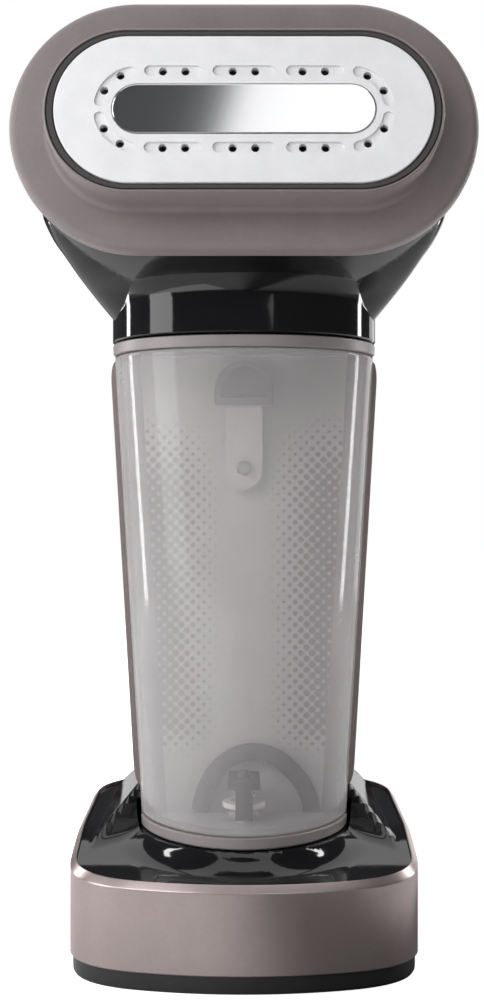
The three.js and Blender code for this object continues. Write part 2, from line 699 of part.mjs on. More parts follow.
function pumpCap() {
  const { y, outer, high } = PUMP;
  const disc = rod(outer, [0, y, high + GAP], [0, y, high + 4], 20);
  const plug = rod(4.9, [0, y, high - 2], [0, y, high + 1], 16);
  return join(disc, plug, rod(2.6, [0, y, high + 3], [0, y, high + 10], 12));
}

function buildPump() {
  const { y, outer } = PUMP;
  place(root, 'pump_housing', 'satinBlack', pumpHousing());
  place(root, 'pump_coil', 'copper', tube(11.2, outer + GAP, [0, y, 92], [0, y, 114]));
  place(root, 'pump_plunger', 'steel', rod(5, [0, y, 97], [0, y, 112], 18));
  place(root, 'pump_spring', 'steel', coil(3.9, 0.5, 86.4, 96.7, 4, 0, y));
  place(root, 'pump_cap', 'satinBlack', pumpCap());
  const supply = [[0, y, 133], [2, 123, 142], [6, 127, 158], [6, 126.6, 190], [6, 122, 214],
    [4, 104, 240], [0, 72, 261], [0, 46, 277], [0, 31.6, 283.9]];
  place(root, 'supply_hose', 'silicone', hose(supply, 2.2, 32));
  const suction = [[0, VALVE_Y, 32.6], [0, 49, 26], [0, 62, 22], [0, 96, 24], [0, 114, 36],
    [0, y, 58], [0, y, 75.6]];
  place(root, 'suction_hose', 'silicone', hose(suction, 2.5, 22));
}

// ---------------------------------------------------------------- base

// Everything under the base's rim, whose top rises from front to rear.
function underRim(drop) {
  const { front, rise, rear } = SLOPE;
  return sideProfile(polygon([[-20, -5], [150, -5], [150, rear - drop], [56, rise - drop],
    [18, front + 0.6 - drop], [-20, front - drop]]), 80);
}

const cordHole = () => rod(7.2, [0, BASE.back - 12, CORD_Z], [0, BASE.back + 4, CORD_Z], 16);

function baseBand() {
  const ring = cut(prism(basePlan(0), BASE.footTop + GAP, 50, 8), prism(basePlan(WALL), 0, 60, 8));
  return cut(ring.intersect(underRim(0)), cordHole());
}

const FLARE = [[34, 13], [37, 6.5], [40, 2.8], [DECK_TOP, 0.9]];

function humpPlan(z, inset) {
  const rise = (z - 40) / (HUMP_TOP - 40);
  const half = THREE.MathUtils.lerp(55, 39, rise) - inset;
  const near = THREE.MathUtils.lerp(68.6, 70.5, rise) + inset;
  const far = THREE.MathUtils.lerp(130.5, 134.6, rise) - inset;
  return oval(half, (far - near) / 2, 4.5, (far + near) / 2, 24);
}

// The deck's bulk, or with an inset the room inside it.
function deckBulk(inset) {
  const low = inset ? 0 : 8;
  const tray = prism(basePlan(WALL + GAP + inset), low, 50, 6).intersect(underRim(inset - 0.5));
  const levels = FLARE.map(([z], i) => (i === FLARE.length - 1 ? z - inset : z - inset / 2));
  const flarePlan = (z, i) => tankPlan(TANK.low, FLARE[i][1] - inset, SHELL.back - inset, 17);
  const flare = solid(loft(levels, flarePlan));
  const hump = solid(loft([38, HUMP_TOP - inset], (z) => humpPlan(z, inset)));
  const inBand = prism(basePlan(WALL + GAP + inset), 0, 60, 6);
  return join(tray, flare, hump).intersect(inBand);
}

function baseDeck() {
  const outside = deckBulk(0);
  const posts = SCREW_PLACES.map(([x, y]) => rod(4.2, [x, y, 8], [x, y, 48], 14).intersect(outside));
  const bores = SCREW_PLACES.map(([x, y]) => rod(1.85, [x, y, 7], [x, y, 24], 12));
  const coupling = [rod(7.8, [0, VALVE_Y, 41.3], [0, VALVE_Y, 50], 20),
    rod(4.3, [0, VALVE_Y, 30], [0, VALVE_Y, 45], 16)];
  const seat = solid(loft([DECK_TOP, 60], () => tankPlan(TANK.low, 1.5, SHELL.back + GAP, 17)));
  const boss = rod(9.5, [0, VALVE_Y, 38.6], [0, VALVE_Y, 42], 20);
  const shell = join(cut(outside, seat, deckBulk(WALL)), boss, ...posts);
  return cut(shell, ...bores, ...coupling, cordHole(), handleBore);
}

function baseFoot() {
  const slab = prism(basePlan(1), 0, BASE.footTop, 6);
  const holes = SCREW_PLACES.flatMap(([x, y]) => [
    rod(1.9, [x, y, -1], [x, y, 9], 10), rod(3.4, [x, y, -1], [x, y, 2.8], 12)]);
  return cut(slab, prism(basePlan(5), 3.4, 10, 6), ...holes);
}

function baseScrew([x, y]) {
  return join(rod(3, [x, y, 0.5], [x, y, 2.5], 12), rod(1.5, [x, y, 2], [x, y, 18], 8));
}

function couplingNipple() {
  return tube(4, 1.6, [0, VALVE_Y, 33.8], [0, VALVE_Y, 41], 14);
}

function cordInlet() {
  const sleeve = rod(6.9, [0, BASE.back - 10, CORD_Z], [0, BASE.back + 2, CORD_Z], 16);
  const flange = rod(9, [0, BASE.back + GAP, CORD_Z], [0, BASE.back + 2.2, CORD_Z], 20);
  const bore = rod(3.9, [0, BASE.back - 12, CORD_Z], [0, BASE.back + 4, CORD_Z], 16);
  return cut(join(sleeve, flange), bore);
}

function circuitBoard() {
  const plate = box([-48, -8], [58, 100], [10, 11.6]);
  const parts = [box([-46, -32], [62, 78], [11, 25]), box([-28, -12], [62, 74], [11, 21])];
  return join(plate, ...parts, rod(5, [-38, 90, 11], [-38, 90, 24], 14));
}

function terminalBlock() {
  const block = box([14, 42], [88, 100], [9, 20]);
  const wells = [19, 28, 37].map((x) => rod(2.2, [x, 94, 14], [x, 94, 21], 10));
  return cut(block, ...wells);
}

function hoseArch() {
  const points = [[-15, 62, DECK_TOP + 0.6], [-14, 62, 56], [-6, 62, 67], [6, 62, 69.5], [18, 62, 63],
    [25, 62, 53], [26.4, 62, DECK_TOP + 0.6]];
  return hose(points, 2.6, 24);
}

function buildBase() {
  place(root, 'base_foot', 'satinBlack', baseFoot());
  place(root, 'base_band', 'band', baseBand());
  place(root, 'base_deck', 'black', baseDeck());
  SCREW_PLACES.forEach((at, i) => place(root, `base_screw_${i + 1}`, 'steel', baseScrew(at)));
  place(root, 'coupling_seal', 'rubber', tube(7.5, 3, [0, VALVE_Y, 41.6], [0, VALVE_Y, DECK_TOP], 20));
  place(root, 'coupling_nipple', 'pale', couplingNipple());
  place(root, 'cord_inlet', 'rubber', cordInlet());
  place(root, 'circuit_board', 'board', circuitBoard());
  place(root, 'terminal_block', 'pale', terminalBlock());
  place(root, 'vent_hose', 'rubber', hoseArch());
}

// ---------------------------------------------------------------- assembly

buildHead();
buildCovers();
buildTank();
buildHandle();
buildPump();
buildBase();

const bounds = new THREE.Box3().setFromObject(root, true);
const middle = bounds.getCenter(new THREE.Vector3());
root.position.set(-middle.x, -middle.y, -bounds.min.z);

export default root;
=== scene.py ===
"""Handheld garment steamer: its finished shapes and surfaces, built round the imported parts."""

import logging
import math
from dataclasses import dataclass, field
from enum import Enum
from typing import Callable, Mapping, Sequence

import bmesh
import bpy
from mathutils import Matrix, Vector


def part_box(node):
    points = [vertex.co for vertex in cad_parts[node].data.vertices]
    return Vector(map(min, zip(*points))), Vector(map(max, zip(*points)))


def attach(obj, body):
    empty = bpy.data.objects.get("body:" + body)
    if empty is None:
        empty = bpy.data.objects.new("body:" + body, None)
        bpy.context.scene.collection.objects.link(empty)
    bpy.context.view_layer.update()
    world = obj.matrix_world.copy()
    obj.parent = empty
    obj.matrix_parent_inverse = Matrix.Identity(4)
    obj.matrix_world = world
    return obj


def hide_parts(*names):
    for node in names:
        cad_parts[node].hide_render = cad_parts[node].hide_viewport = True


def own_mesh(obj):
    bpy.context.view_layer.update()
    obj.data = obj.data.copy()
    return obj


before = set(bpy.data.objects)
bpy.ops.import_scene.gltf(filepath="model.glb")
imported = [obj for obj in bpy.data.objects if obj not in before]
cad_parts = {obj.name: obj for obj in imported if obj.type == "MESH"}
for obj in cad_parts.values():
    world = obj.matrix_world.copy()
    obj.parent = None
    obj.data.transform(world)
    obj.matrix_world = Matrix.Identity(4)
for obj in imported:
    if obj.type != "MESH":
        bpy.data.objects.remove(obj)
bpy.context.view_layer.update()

LOG = logging.getLogger("steamer")
MM = 0.001

Colour = tuple[float, float, float]
Flat = tuple[float, float]
Point = tuple[float, float, float]
Step = tuple[str, "Form"]
Value = "Wire | float | Colour | Sequence[float]"


class Rides(Enum):
    """The moving bodies that a piece can go with."""

    MAIN = "body"
    TANK = "tank"
    FILLER = "filler_cover"
    VALVE = "valve"
    CATCH = "catch"
    TRIGGER = "trigger"
    LOCK = "lock"
    BUTTON = "button"


class Grain(Enum):
    """How a surface's fine relief is laid."""

    MOULDED = "moulded"
    CAST = "cast"
    BRUSHED = "brushed"
    WOUND = "wound"


# ---------------------------------------------------------------- measures


def blend(first: float, last: float, share: float) -> float:
    """The value at a share of the way from first to last."""
    return first + (last - first) * share


def ease(value: float, low: float, high: float) -> float:
    """A smooth 0 to 1 as value goes from low to high."""
    share = min(max((value - low) / (high - low), 0.0), 1.0)
    return share * share * (3.0 - 2.0 * share)


def soft_max(values: Sequence[float], softness: float) -> float:
    """The largest value, with corners rounded where two are close.

    Args:
        values: Heights to join.
        softness: Distance over which they blend.

    Returns:
        The joined height.
    """
    top = max(values)
    total = sum(math.exp((value - top) / softness) for value in values)
    return top + softness * math.log(total)


def curve_point(around: Sequence[Sequence[float]], share: float) -> tuple[float, ...]:
    """A point on the smooth curve between the middle two of four points.

    Args:
        around: Four neighbouring points.
        share: How far along, from 0 to 1.

    Returns:
        The point.
    """
    square, cube = share * share, share * share * share
    parts = []
    for before, first, last, after in zip(*around):
        slope = last - before
        bend = 2.0 * before - 5.0 * first + 4.0 * last - after
        swing = 3.0 * first - before - 3.0 * last + after
        parts.append(0.5 * (2.0 * first + slope * share + bend * square + swing * cube))
    return tuple(parts)


def curve_through(knots: Sequence[Sequence[float]], steps: int) -> list[tuple[float, ...]]:
    """Points on the smooth curve through all of the knots.

    Args:
        knots: The places or rows of sizes that it goes through.
        steps: Steps from each knot to the next.

    Returns:
        The points, from the first knot to the last.
    """
    points = []
    for i in range(len(knots) - 1):
        around = (knots[max(i - 1, 0)], knots[i], knots[i + 1], knots[min(i + 2, len(knots) - 1)])
        points += [curve_point(around, j / steps) for j in range(steps)]
    return points + [knots[-1]]


BAND_FRONT = 7.0
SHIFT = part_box("base_band")[0].y / MM - BAND_FRONT
PART_SPACE = Matrix.Translation((0.0, SHIFT * MM, 0.0)) @ Matrix.Diagonal((MM, MM, MM, 1.0))
HEAD_HEIGHT = 281.4
HEAD_LEAN = math.radians(6.0)
HEAD_SPACE = (
    PART_SPACE
    @ Matrix.Translation((0.0, 0.0, HEAD_HEIGHT))
    @ Matrix.Rotation(math.pi / 2 - HEAD_LEAN, 4, "X")
)


def rounded_power(value: float, power: float) -> float:
    """value raised to 2 / power with its sign kept."""
    return math.copysign(abs(value) ** (2.0 / power), value)


def oval(
    half_width: float,
    half_depth: float,
    power: float,
    centre: float,
    count: int,
    start: float = 0.0,
    stop: float = 2.0 * math.pi,
) -> list[Flat]:
    """Points on a squared oval.

    Args:
        half_width: Half of its width.
        half_depth: Half of its depth.
        power: 2 for an ellipse, more for a squarer shape.
        centre: Depth of its middle.
        count: Number of points.
        start: First angle.
        stop: Last angle; a whole turn leaves the repeated point out.

    Returns:
        The points, anticlockwise.
    """
    whole = math.isclose(stop - start, 2.0 * math.pi)
    steps = count if whole else count - 1
    points = []
    for i in range(count):
        angle = start + (stop - start) * i / steps
        across = half_width * rounded_power(math.cos(angle), power)
        along = centre + half_depth * rounded_power(math.sin(angle), power)
        points.append((across, along))
    return points


def stadium(
    width: float, height: float, middle: Flat = (0.0, 0.0), arc_steps: int = 28
) -> list[Flat]:
    """Points on a round-ended bar.

    Args:
        width: Overall width.
        height: Overall height.
        middle: Its centre.
        arc_steps: Steps in each half circle.

    Returns:
        The points, anticlockwise from the lower right.
    """
    radius = height / 2.0
    reach = width / 2.0 - radius
    points = []
    for side, turn in ((1.0, -math.pi / 2.0), (-1.0, math.pi / 2.0)):
        for i in range(arc_steps + 1):
            angle = turn + math.pi * i / arc_steps
            x = middle[0] + side * reach + radius * math.cos(angle)
            points.append((x, middle[1] + radius * math.sin(angle)))
    return points


def bent_slot(centre: float, radius: float, start: float, stop: float, width: float) -> list[Flat]:
    """Points on a round-ended slot bent round (centre, 0).

    Args:
        centre: X of the bend's centre.
        radius: Radius of the slot's middle line.
        start: Angle of its first end.
        stop: Angle of its last end.
        width: Width of the slot.

    Returns:
        The points, anticlockwise.
    """
    points = []

    def arc(middle: Flat, size: float, first: float, last: float, steps: int) -> None:
        """Adds an arc to the outline."""
        for i in range(steps + 1):
            angle = first + (last - first) * i / steps
            x = middle[0] + size * math.cos(angle)
            points.append((x, middle[1] + size * math.sin(angle)))

    def end(angle: float) -> Flat:
        """Middle of the slot's end at an angle."""
        return (centre + radius * math.cos(angle), radius * math.sin(angle))

    half = width / 2.0
    arc((centre, 0.0), radius + half, start, stop, 16)
    arc(end(stop), half, stop, stop + math.pi, 10)
    arc((centre, 0.0), radius - half, stop, start, 16)
    arc(end(start), half, start + math.pi, start + 2.0 * math.pi, 10)
    return points


# ---------------------------------------------------------------- mesh making


class Form:
    """One closed shape under construction, in millimetres."""

    def __init__(self, mesh: bmesh.types.BMesh) -> None:
        """Keeps the mesh that operators have started."""
        self.mesh = mesh

    @classmethod
    def wrapped(cls, rows: Sequence[Sequence[Point]], looped: bool = False) -> "Form":
        """A sheet wrapped through one closed outline per row.

        Args:
            rows: Outlines with equally many points.
            looped: True where the last outline joins the first.

        Returns:
            The closed shape.
        """
        lines = [list(row) + [row[0]] for row in rows]
        if looped:
            lines.append(lines[0])
        mesh = bmesh.new()
        columns = len(lines[0])
        bmesh.ops.create_grid(mesh, x_segments=columns - 1, y_segments=len(lines) - 1, size=1.0)
        mesh.verts.ensure_lookup_table()
        for i, vert in enumerate(mesh.verts):
            vert.co = lines[i // columns][i % columns]
        bmesh.ops.remove_doubles(mesh, verts=mesh.verts, dist=1e-5)
        bmesh.ops.dissolve_degenerate(mesh, dist=1e-5, edges=mesh.edges)
        rims = [edge for edge in mesh.edges if edge.is_boundary]
        if rims:
            bmesh.ops.holes_fill(mesh, edges=rims, sides=0)
        bmesh.ops.recalc_face_normals(mesh, faces=mesh.faces)
        return cls(mesh)

    @classmethod
    def raised(cls, outline: Sequence[Flat], low: float, high: float) -> "Form":
        """A prism of an outline in X and Y between two heights."""
        rows = [[(x, y, level) for x, y in outline] for level in (low, high)]
        return cls.wrapped(rows)

    @classmethod
    def slab(cls, outline: Sequence[Flat], near: float, far: float) -> "Form":
        """A plate of an outline in X and Z between two depths."""
        rows = [[(x, level, z) for x, z in outline] for level in (near, far)]
        return cls.wrapped(rows)

    @classmethod
    def block(cls, low: Point, high: Point) -> "Form":
        """A box between two corners."""
        mesh = bmesh.new()
        made = bmesh.ops.create_cube(mesh, size=1.0)
        size = Vector(high) - Vector(low)
        bmesh.ops.scale(mesh, vec=size, verts=made["verts"])
        bmesh.ops.translate(mesh, vec=(Vector(high) + Vector(low)) / 2.0, verts=made["verts"])
        return cls(mesh)

    @classmethod
    def turned(cls, profile: Sequence[Flat], steps: int = 48) -> "Form":
        """A shape turned on a lathe round Z.

        Args:
            profile: Radius and height of each point, from the axis back to the axis or closed.
            steps: Number of steps in the turn.

        Returns:
            The closed shape, axis on Z.
        """
        mesh = bmesh.new()
        verts = [mesh.verts.new((radius, 0.0, height)) for radius, height in profile]
        pairs = list(zip(verts, verts[1:]))
        if profile[0][0] > 0.0:
            pairs.append((verts[-1], verts[0]))
        edges = [mesh.edges.new(pair) for pair in pairs]
        bmesh.ops.spin(
            mesh,
            geom=verts + edges,
            cent=(0.0, 0.0, 0.0),
            axis=(0.0, 0.0, 1.0),
            angle=2.0 * math.pi,
            steps=steps,
            use_merge=True,
        )
        bmesh.ops.remove_doubles(mesh, verts=mesh.verts, dist=1e-4)
        bmesh.ops.recalc_face_normals(mesh, faces=mesh.faces)
        return cls(mesh)

    @classmethod
    def rod(cls, radius: float, start: Point, stop: Point, sides: int = 40) -> "Form":
        """A round bar between two points."""
        along = Vector(stop) - Vector(start)
        mesh = bmesh.new()
        turn = along.to_track_quat("Z", "Y").to_matrix().to_4x4()
        middle = Matrix.Translation((Vector(start) + Vector(stop)) / 2.0)
        bmesh.ops.create_cone(
            mesh,
            cap_ends=True,
            segments=sides,
            radius1=radius,
            radius2=radius,
            depth=along.length,
            matrix=middle @ turn,
        )
        return cls(mesh)

    @classmethod
    def hose(cls, path: Sequence[Point], radius: float, sides: int = 24) -> "Form":
        """A round tube along a path of points.

        Args:
            path: Points on its middle line.
            radius: Its radius.
            sides: Sides of its section.

        Returns:
            The closed shape.
        """
        rows = []
        for i, point in enumerate(path):
            ahead = Vector(path[min(i + 1, len(path) - 1)]) - Vector(path[max(i - 1, 0)])
            turn = ahead.to_track_quat("Z", "Y")
            ring = []
            for j in range(sides):
                angle = 2.0 * math.pi * j / sides
                arm = Vector((radius * math.cos(angle), radius * math.sin(angle), 0.0))
                ring.append(tuple(Vector(point) + turn @ arm))
            rows.append(ring)
        return cls.wrapped(rows)

    def moved(self, step: Point) -> "Form":
        """This shape after a move."""
        bmesh.ops.translate(self.mesh, vec=step, verts=self.mesh.verts)
        return self

    def tipped(self, degrees: float) -> "Form":
        """This shape after a turn about X."""
        turn = Matrix.Rotation(math.radians(degrees), 3, "X")
        bmesh.ops.rotate(self.mesh, cent=(0.0, 0.0, 0.0), matrix=turn, verts=self.mesh.verts)
        return self

    def settled(self, space: Matrix) -> "Form":
        """This shape carried from millimetres into the part's metres."""
        bmesh.ops.transform(self.mesh, matrix=space, verts=self.mesh.verts)
        return self

    def thing(self, name: str) -> bpy.types.Object:
        """The shape as an object at the origin."""
        data = bpy.data.meshes.new(name)
        self.mesh.to_mesh(data)
        self.mesh.free()
        thing = bpy.data.objects.new(name, data)
        bpy.context.scene.collection.objects.link(thing)
        return thing


def adding(*forms: Form) -> list[Step]:
    """Steps that join shapes on."""
    return [("UNION", form) for form in forms]


def cutting(*forms: Form) -> list[Step]:
    """Steps that take shapes away."""
    return [("DIFFERENCE", form) for form in forms]


def combine(
    name: str,
    start: Form,
    steps: Sequence[Step],
    space: Matrix = PART_SPACE,
) -> bpy.types.Object:
    """Adds and cuts shapes one after the other.

    Args:
        name: Name of the finished object.
        start: First shape.
        steps: Pairs of UNION, DIFFERENCE or INTERSECT and the shape to use.
        space: Carries the shapes into the part's metres.

    Returns:
        The finished object.
    """
    thing = start.thing(name)
    for kind, form in steps:
        other = form.thing("tool_of_" + name)
        change = thing.modifiers.new("join", "BOOLEAN")
        change.operation = kind
        change.solver = "MANIFOLD"
        change.object = other
        bpy.context.view_layer.update()
        graph = bpy.context.evaluated_depsgraph_get()
        data = bpy.data.meshes.new_from_object(thing.evaluated_get(graph))
        thing.modifiers.clear()
        thing.data = data
        bpy.data.objects.remove(other)
    thing.data.transform(space)
    return thing


def rounded(
    thing: bpy.types.Object, width: float, steps: int = 3, angle: float = 40.0
) -> bpy.types.Object:
    """Rounds the sharp edges of an object.

    Args:
        thing: The object.
        width: Width of the rounding in millimetres.
        steps: Segments across it.
        angle: Edges sharper than this are rounded.

    Returns:
        The same object.
    """
    edge = thing.modifiers.new("rounding", "BEVEL")
    edge.width = width * MM
    edge.segments = steps
    edge.limit_method = "ANGLE"
    edge.angle_limit = math.radians(angle)
    edge.use_clamp_overlap = True
    return thing


def merged_copy(node: str, name: str) -> bpy.types.Object:
    """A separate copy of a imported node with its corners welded."""
    mesh = bmesh.new()
    mesh.from_mesh(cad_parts[node].data)
    bmesh.ops.remove_doubles(mesh, verts=mesh.verts, dist=1e-6)
    flat = math.radians(1.0)
    bmesh.ops.dissolve_limit(mesh, angle_limit=flat, verts=mesh.verts, edges=mesh.edges)
    return Form(mesh).thing(name)


# ---------------------------------------------------------------- shader making

# A Mix node has one set of sockets per data type, so its colour sockets go by place.
MIX_SHARE = 0
MIX_FIRST = 6
MIX_LAST = 7
MIX_COLOUR = 2


class Wire:
    """One value in a shader. Arithmetic on it adds Math nodes."""

    def __init__(self, graph: "Graph", socket: bpy.types.NodeSocket | None) -> None:
        """Keeps the output that carries the value; a tree's last node has none."""
        self.graph = graph
        self.socket = socket

    def _math(self, operation: str, first: Value, second: Value) -> "Wire":
        """A Math node of two values."""
        return self.graph.node("ShaderNodeMath", {"operation": operation}, {0: first, 1: second})

    def __add__(self, other: Value) -> "Wire":
        """self + other."""
        return self._math("ADD", self, other)

    def __sub__(self, other: Value) -> "Wire":
        """self - other."""
        return self._math("SUBTRACT", self, other)

    def __rsub__(self, other: Value) -> "Wire":
        """other - self."""
        return self._math("SUBTRACT", other, self)

    def __mul__(self, other: Value) -> "Wire":
        """self * other."""
        return self._math("MULTIPLY", self, other)

    def __pow__(self, other: Value) -> "Wire":
        """self to a power."""
        return self._math("POWER", self, other)

    def size(self) -> "Wire":
        """Its value without sign."""
        return self._math("ABSOLUTE", self, 0.0)

    def remainder(self, step: float) -> "Wire":
        """What is left over after whole steps."""
        return self._math("FLOORED_MODULO", self, step)

    def ramp(self, low: float, high: float) -> "Wire":
        """A smooth 0 to 1 as the value goes from low to high."""
        settings = {"interpolation_type": "SMOOTHSTEP"}
        sockets = {"Value": self, "From Min": low, "From Max": high}
        return self.graph.node("ShaderNodeMapRange", settings, sockets)


class Graph:
    """The node tree of one material or world."""

    def __init__(self, owner: bpy.types.Material | bpy.types.World) -> None:
        """Starts its owner off with an empty tree."""
        self.owner = owner
        owner.use_nodes = True
        self.tree = owner.node_tree
        self.tree.nodes.clear()

    def node(
        self,
        kind: str,
        settings: Mapping[str, object] | None = None,
        sockets: Mapping[str | int, Value] | None = None,
        output: str | int = 0,
    ) -> Wire:
        """Adds one node.

        Args:
            kind: Its type.
            settings: Its options, set first.
            sockets: Values or wires for its inputs, by name or place.
            output: The output that the wire carries.

        Returns:
            The wire from that output.
        """
        made = self.tree.nodes.new(kind)
        for option, value in (settings or {}).items():
            setattr(made, option, value)
        for place, value in (sockets or {}).items():
            if isinstance(value, Wire):
                self.tree.links.new(value.socket, made.inputs[place])
            else:
                made.inputs[place].default_value = value
        return Wire(self, made.outputs[output] if made.outputs else None)

    def place(self, stretch: Point = (1.0, 1.0, 1.0)) -> Wire:
        """The piece's own coordinates in millimetres, stretched."""
        where = self.node("ShaderNodeTexCoord", output="Object")
        scale = [share / MM for share in stretch]
        return self.node("ShaderNodeMapping", None, {"Vector": where, "Scale": scale})

    def axis(self, where: Wire, name: str) -> Wire:
        """One of X, Y and Z of a place."""
        return self.node("ShaderNodeSeparateXYZ", None, {0: where}, name)

    def noise(self, where: Wire, scale: float, detail: float = 3.0, roughness: float = 0.5) -> Wire:
        """Cloudy variation; scale is features per millimetre."""
        sockets = {"Vector": where, "Scale": scale, "Detail": detail, "Roughness": roughness}
        return self.node("ShaderNodeTexNoise", None, sockets)

    def mix(self, share: Value, first: Value, last: Value) -> Wire:
        """A colour between two colours."""
        pair = [(*v, 1.0) if isinstance(v, tuple) else v for v in (first, last)]
        sockets = {MIX_SHARE: share, MIX_FIRST: pair[0], MIX_LAST: pair[1]}
        return self.node("ShaderNodeMix", {"data_type": "RGBA"}, sockets, MIX_COLOUR)

    def bump(self, height: Wire, depth: float) -> Wire:
        """A normal from a height; depth is in millimetres."""
        sockets = {"Strength": 1.0, "Distance": depth * MM, "Height": height}
        return self.node("ShaderNodeBump", None, sockets)

    def finish(self, sockets: Mapping[str, Value]) -> bpy.types.Material:
        """Ends the tree in a Principled surface.

        Args:
            sockets: Its inputs, by name.

        Returns:
            The finished material.
        """
        surface = self.node("ShaderNodeBsdfPrincipled", None, sockets)
        self.node("ShaderNodeOutputMaterial", None, {"Surface": surface})
        return self.owner


@dataclass(frozen=True)
class Finish:
    """A surface of one colour with its own grain, mottling and uneven gloss.

    Sizes are in features per millimetre and depths in millimetres.
    """

    name: str
    slot: str
    colour: Colour
    roughness: float
    metallic: float = 0.0
    grain: Grain = Grain.MOULDED
    grain_scale: float = 3.0
    grain_depth: float = 0.02
    mottle: float = 0.10
    mottle_scale: float = 0.05
    gloss_wander: float = 0.06
    coat: float = 0.0
    coat_roughness: float = 0.04
    sheen: float = 0.0
    bounce: float = 0.5

    def stretch(self) -> Point:
        """How the grain is drawn out."""
        return {Grain.BRUSHED: (0.06, 0.06, 1.0), Grain.WOUND: (0.2, 0.2, 1.4)}.get(
            self.grain, (1.0, 1.0, 1.0)
        )

    def relief(self, graph: Graph) -> Wire:
        """The height of the fine grain."""
        where = graph.place(self.stretch())
        if self.grain is Grain.CAST:
            sockets = {"Vector": where, "Scale": self.grain_scale}
            cells = graph.node("ShaderNodeTexVoronoi", None, sockets, "Distance")
            return cells * 0.6 + graph.noise(where, self.grain_scale * 2.0) * 0.4
        if self.grain is Grain.WOUND:
            rows = (graph.axis(where, "Z") * self.grain_scale).remainder(1.0)
            return (rows - 0.5).size() * 2.0
        return graph.noise(where, self.grain_scale, 4.0, 0.6)

    def tint(self, graph: Graph) -> Wire:
        """The colour with its slow and fine variation."""
        where = graph.place()
        slow = graph.noise(where, self.mottle_scale, 4.0)
        fine = graph.noise(where, self.mottle_scale * 14.0, 2.0)
        share = (slow * 0.7 + fine * 0.3).ramp(0.3, 0.7)
        darker, lighter = (
            tuple(min(part * (1.0 + change), 1.0) for part in self.colour)
            for change in (-self.mottle, self.mottle)
        )
        return graph.mix(share, darker, lighter)

    def gloss(self, graph: Graph) -> Wire:
        """Roughness that wanders as handled and wiped surfaces do."""
        where = graph.place((1.0, 1.0, 0.45))
        wander = graph.noise(where, self.mottle_scale * 2.2, 5.0, 0.65).ramp(0.35, 0.75)
        return wander * self.gloss_wander + (self.roughness - self.gloss_wander * 0.4)

    def sockets(self, graph: Graph) -> dict[str, Value]:
        """Inputs of the surface."""
        return {
            "Base Color": self.tint(graph),
            "Roughness": self.gloss(graph),
            "Metallic": self.metallic,
            "Normal": graph.bump(self.relief(graph), self.grain_depth),
            "Coat Weight": self.coat,
            "Coat Roughness": self.coat_roughness,
            "Sheen Weight": self.sheen,
            "Specular IOR Level": self.bounce,
        }

    def material(self) -> bpy.types.Material:
        """The material, made once."""
        ready = bpy.data.materials.get(self.name)
        if ready:
            return ready
        graph = Graph(bpy.data.materials.new(self.name))
        return graph.finish(self.sockets(graph))


@dataclass(frozen=True)
class DottedFinish(Finish):
    """A wall printed with staggered dots that fade out towards its middle."""

    pitch: float = 4.2
    dot: float = 1.55
    dot_colour: Colour = (0.2, 0.18, 0.182)
    inner_edge: float = 2.0
    outer_edge: float = 32.0
    low: float = 70.0
    high: float = 204.0

    def dots(self, graph: Graph) -> Wire:
        """1 inside a dot and 0 outside it."""
        where = graph.place()
        across = graph.axis(where, "X")
        up = graph.axis(where, "Z")
        spread = across.size().ramp(self.inner_edge, self.outer_edge)
        ends = up.ramp(self.low - 8.0, self.low + 10.0) * (1.0 - up.ramp(self.high - 40.0, self.high))
        radius = spread * ends * self.dot
        masks = []
        for offset in (0.0, self.pitch / 2.0):
            x = (across + offset).remainder(self.pitch) - self.pitch / 2.0
            z = (up + offset).remainder(self.pitch) - self.pitch / 2.0
            distance = (x * x + z * z) ** 0.5
            masks.append((radius - distance).ramp(-0.12, 0.12))
        return masks[0] + masks[1]

    def tint(self, graph: Graph) -> Wire:
        """The wall's colour with its dots."""
        return graph.mix(self.dots(graph) * 0.85, super().tint(graph), self.dot_colour)


@dataclass(frozen=True)
class ClearFinish(Finish):
    """Tinted see-through plastic with a smooth, bright face."""

    opacity: float = 0.35
    rim_opacity: float = 0.5
    index: float = 1.9

    def sockets(self, graph: Graph) -> dict[str, Value]:
        """Inputs of the surface, denser where it is seen edge on."""
        facing = graph.node("ShaderNodeLayerWeight", None, {"Blend": 0.35}, "Facing")
        haze = graph.noise(graph.place((1.0, 1.0, 0.3)), 0.06, 4.0)
        veil = facing ** 2.0 * self.rim_opacity + haze * 0.08 + (self.opacity - 0.04)
        sockets = super().sockets(graph)
        sockets["Alpha"] = veil
        sockets["IOR"] = self.index
        return sockets


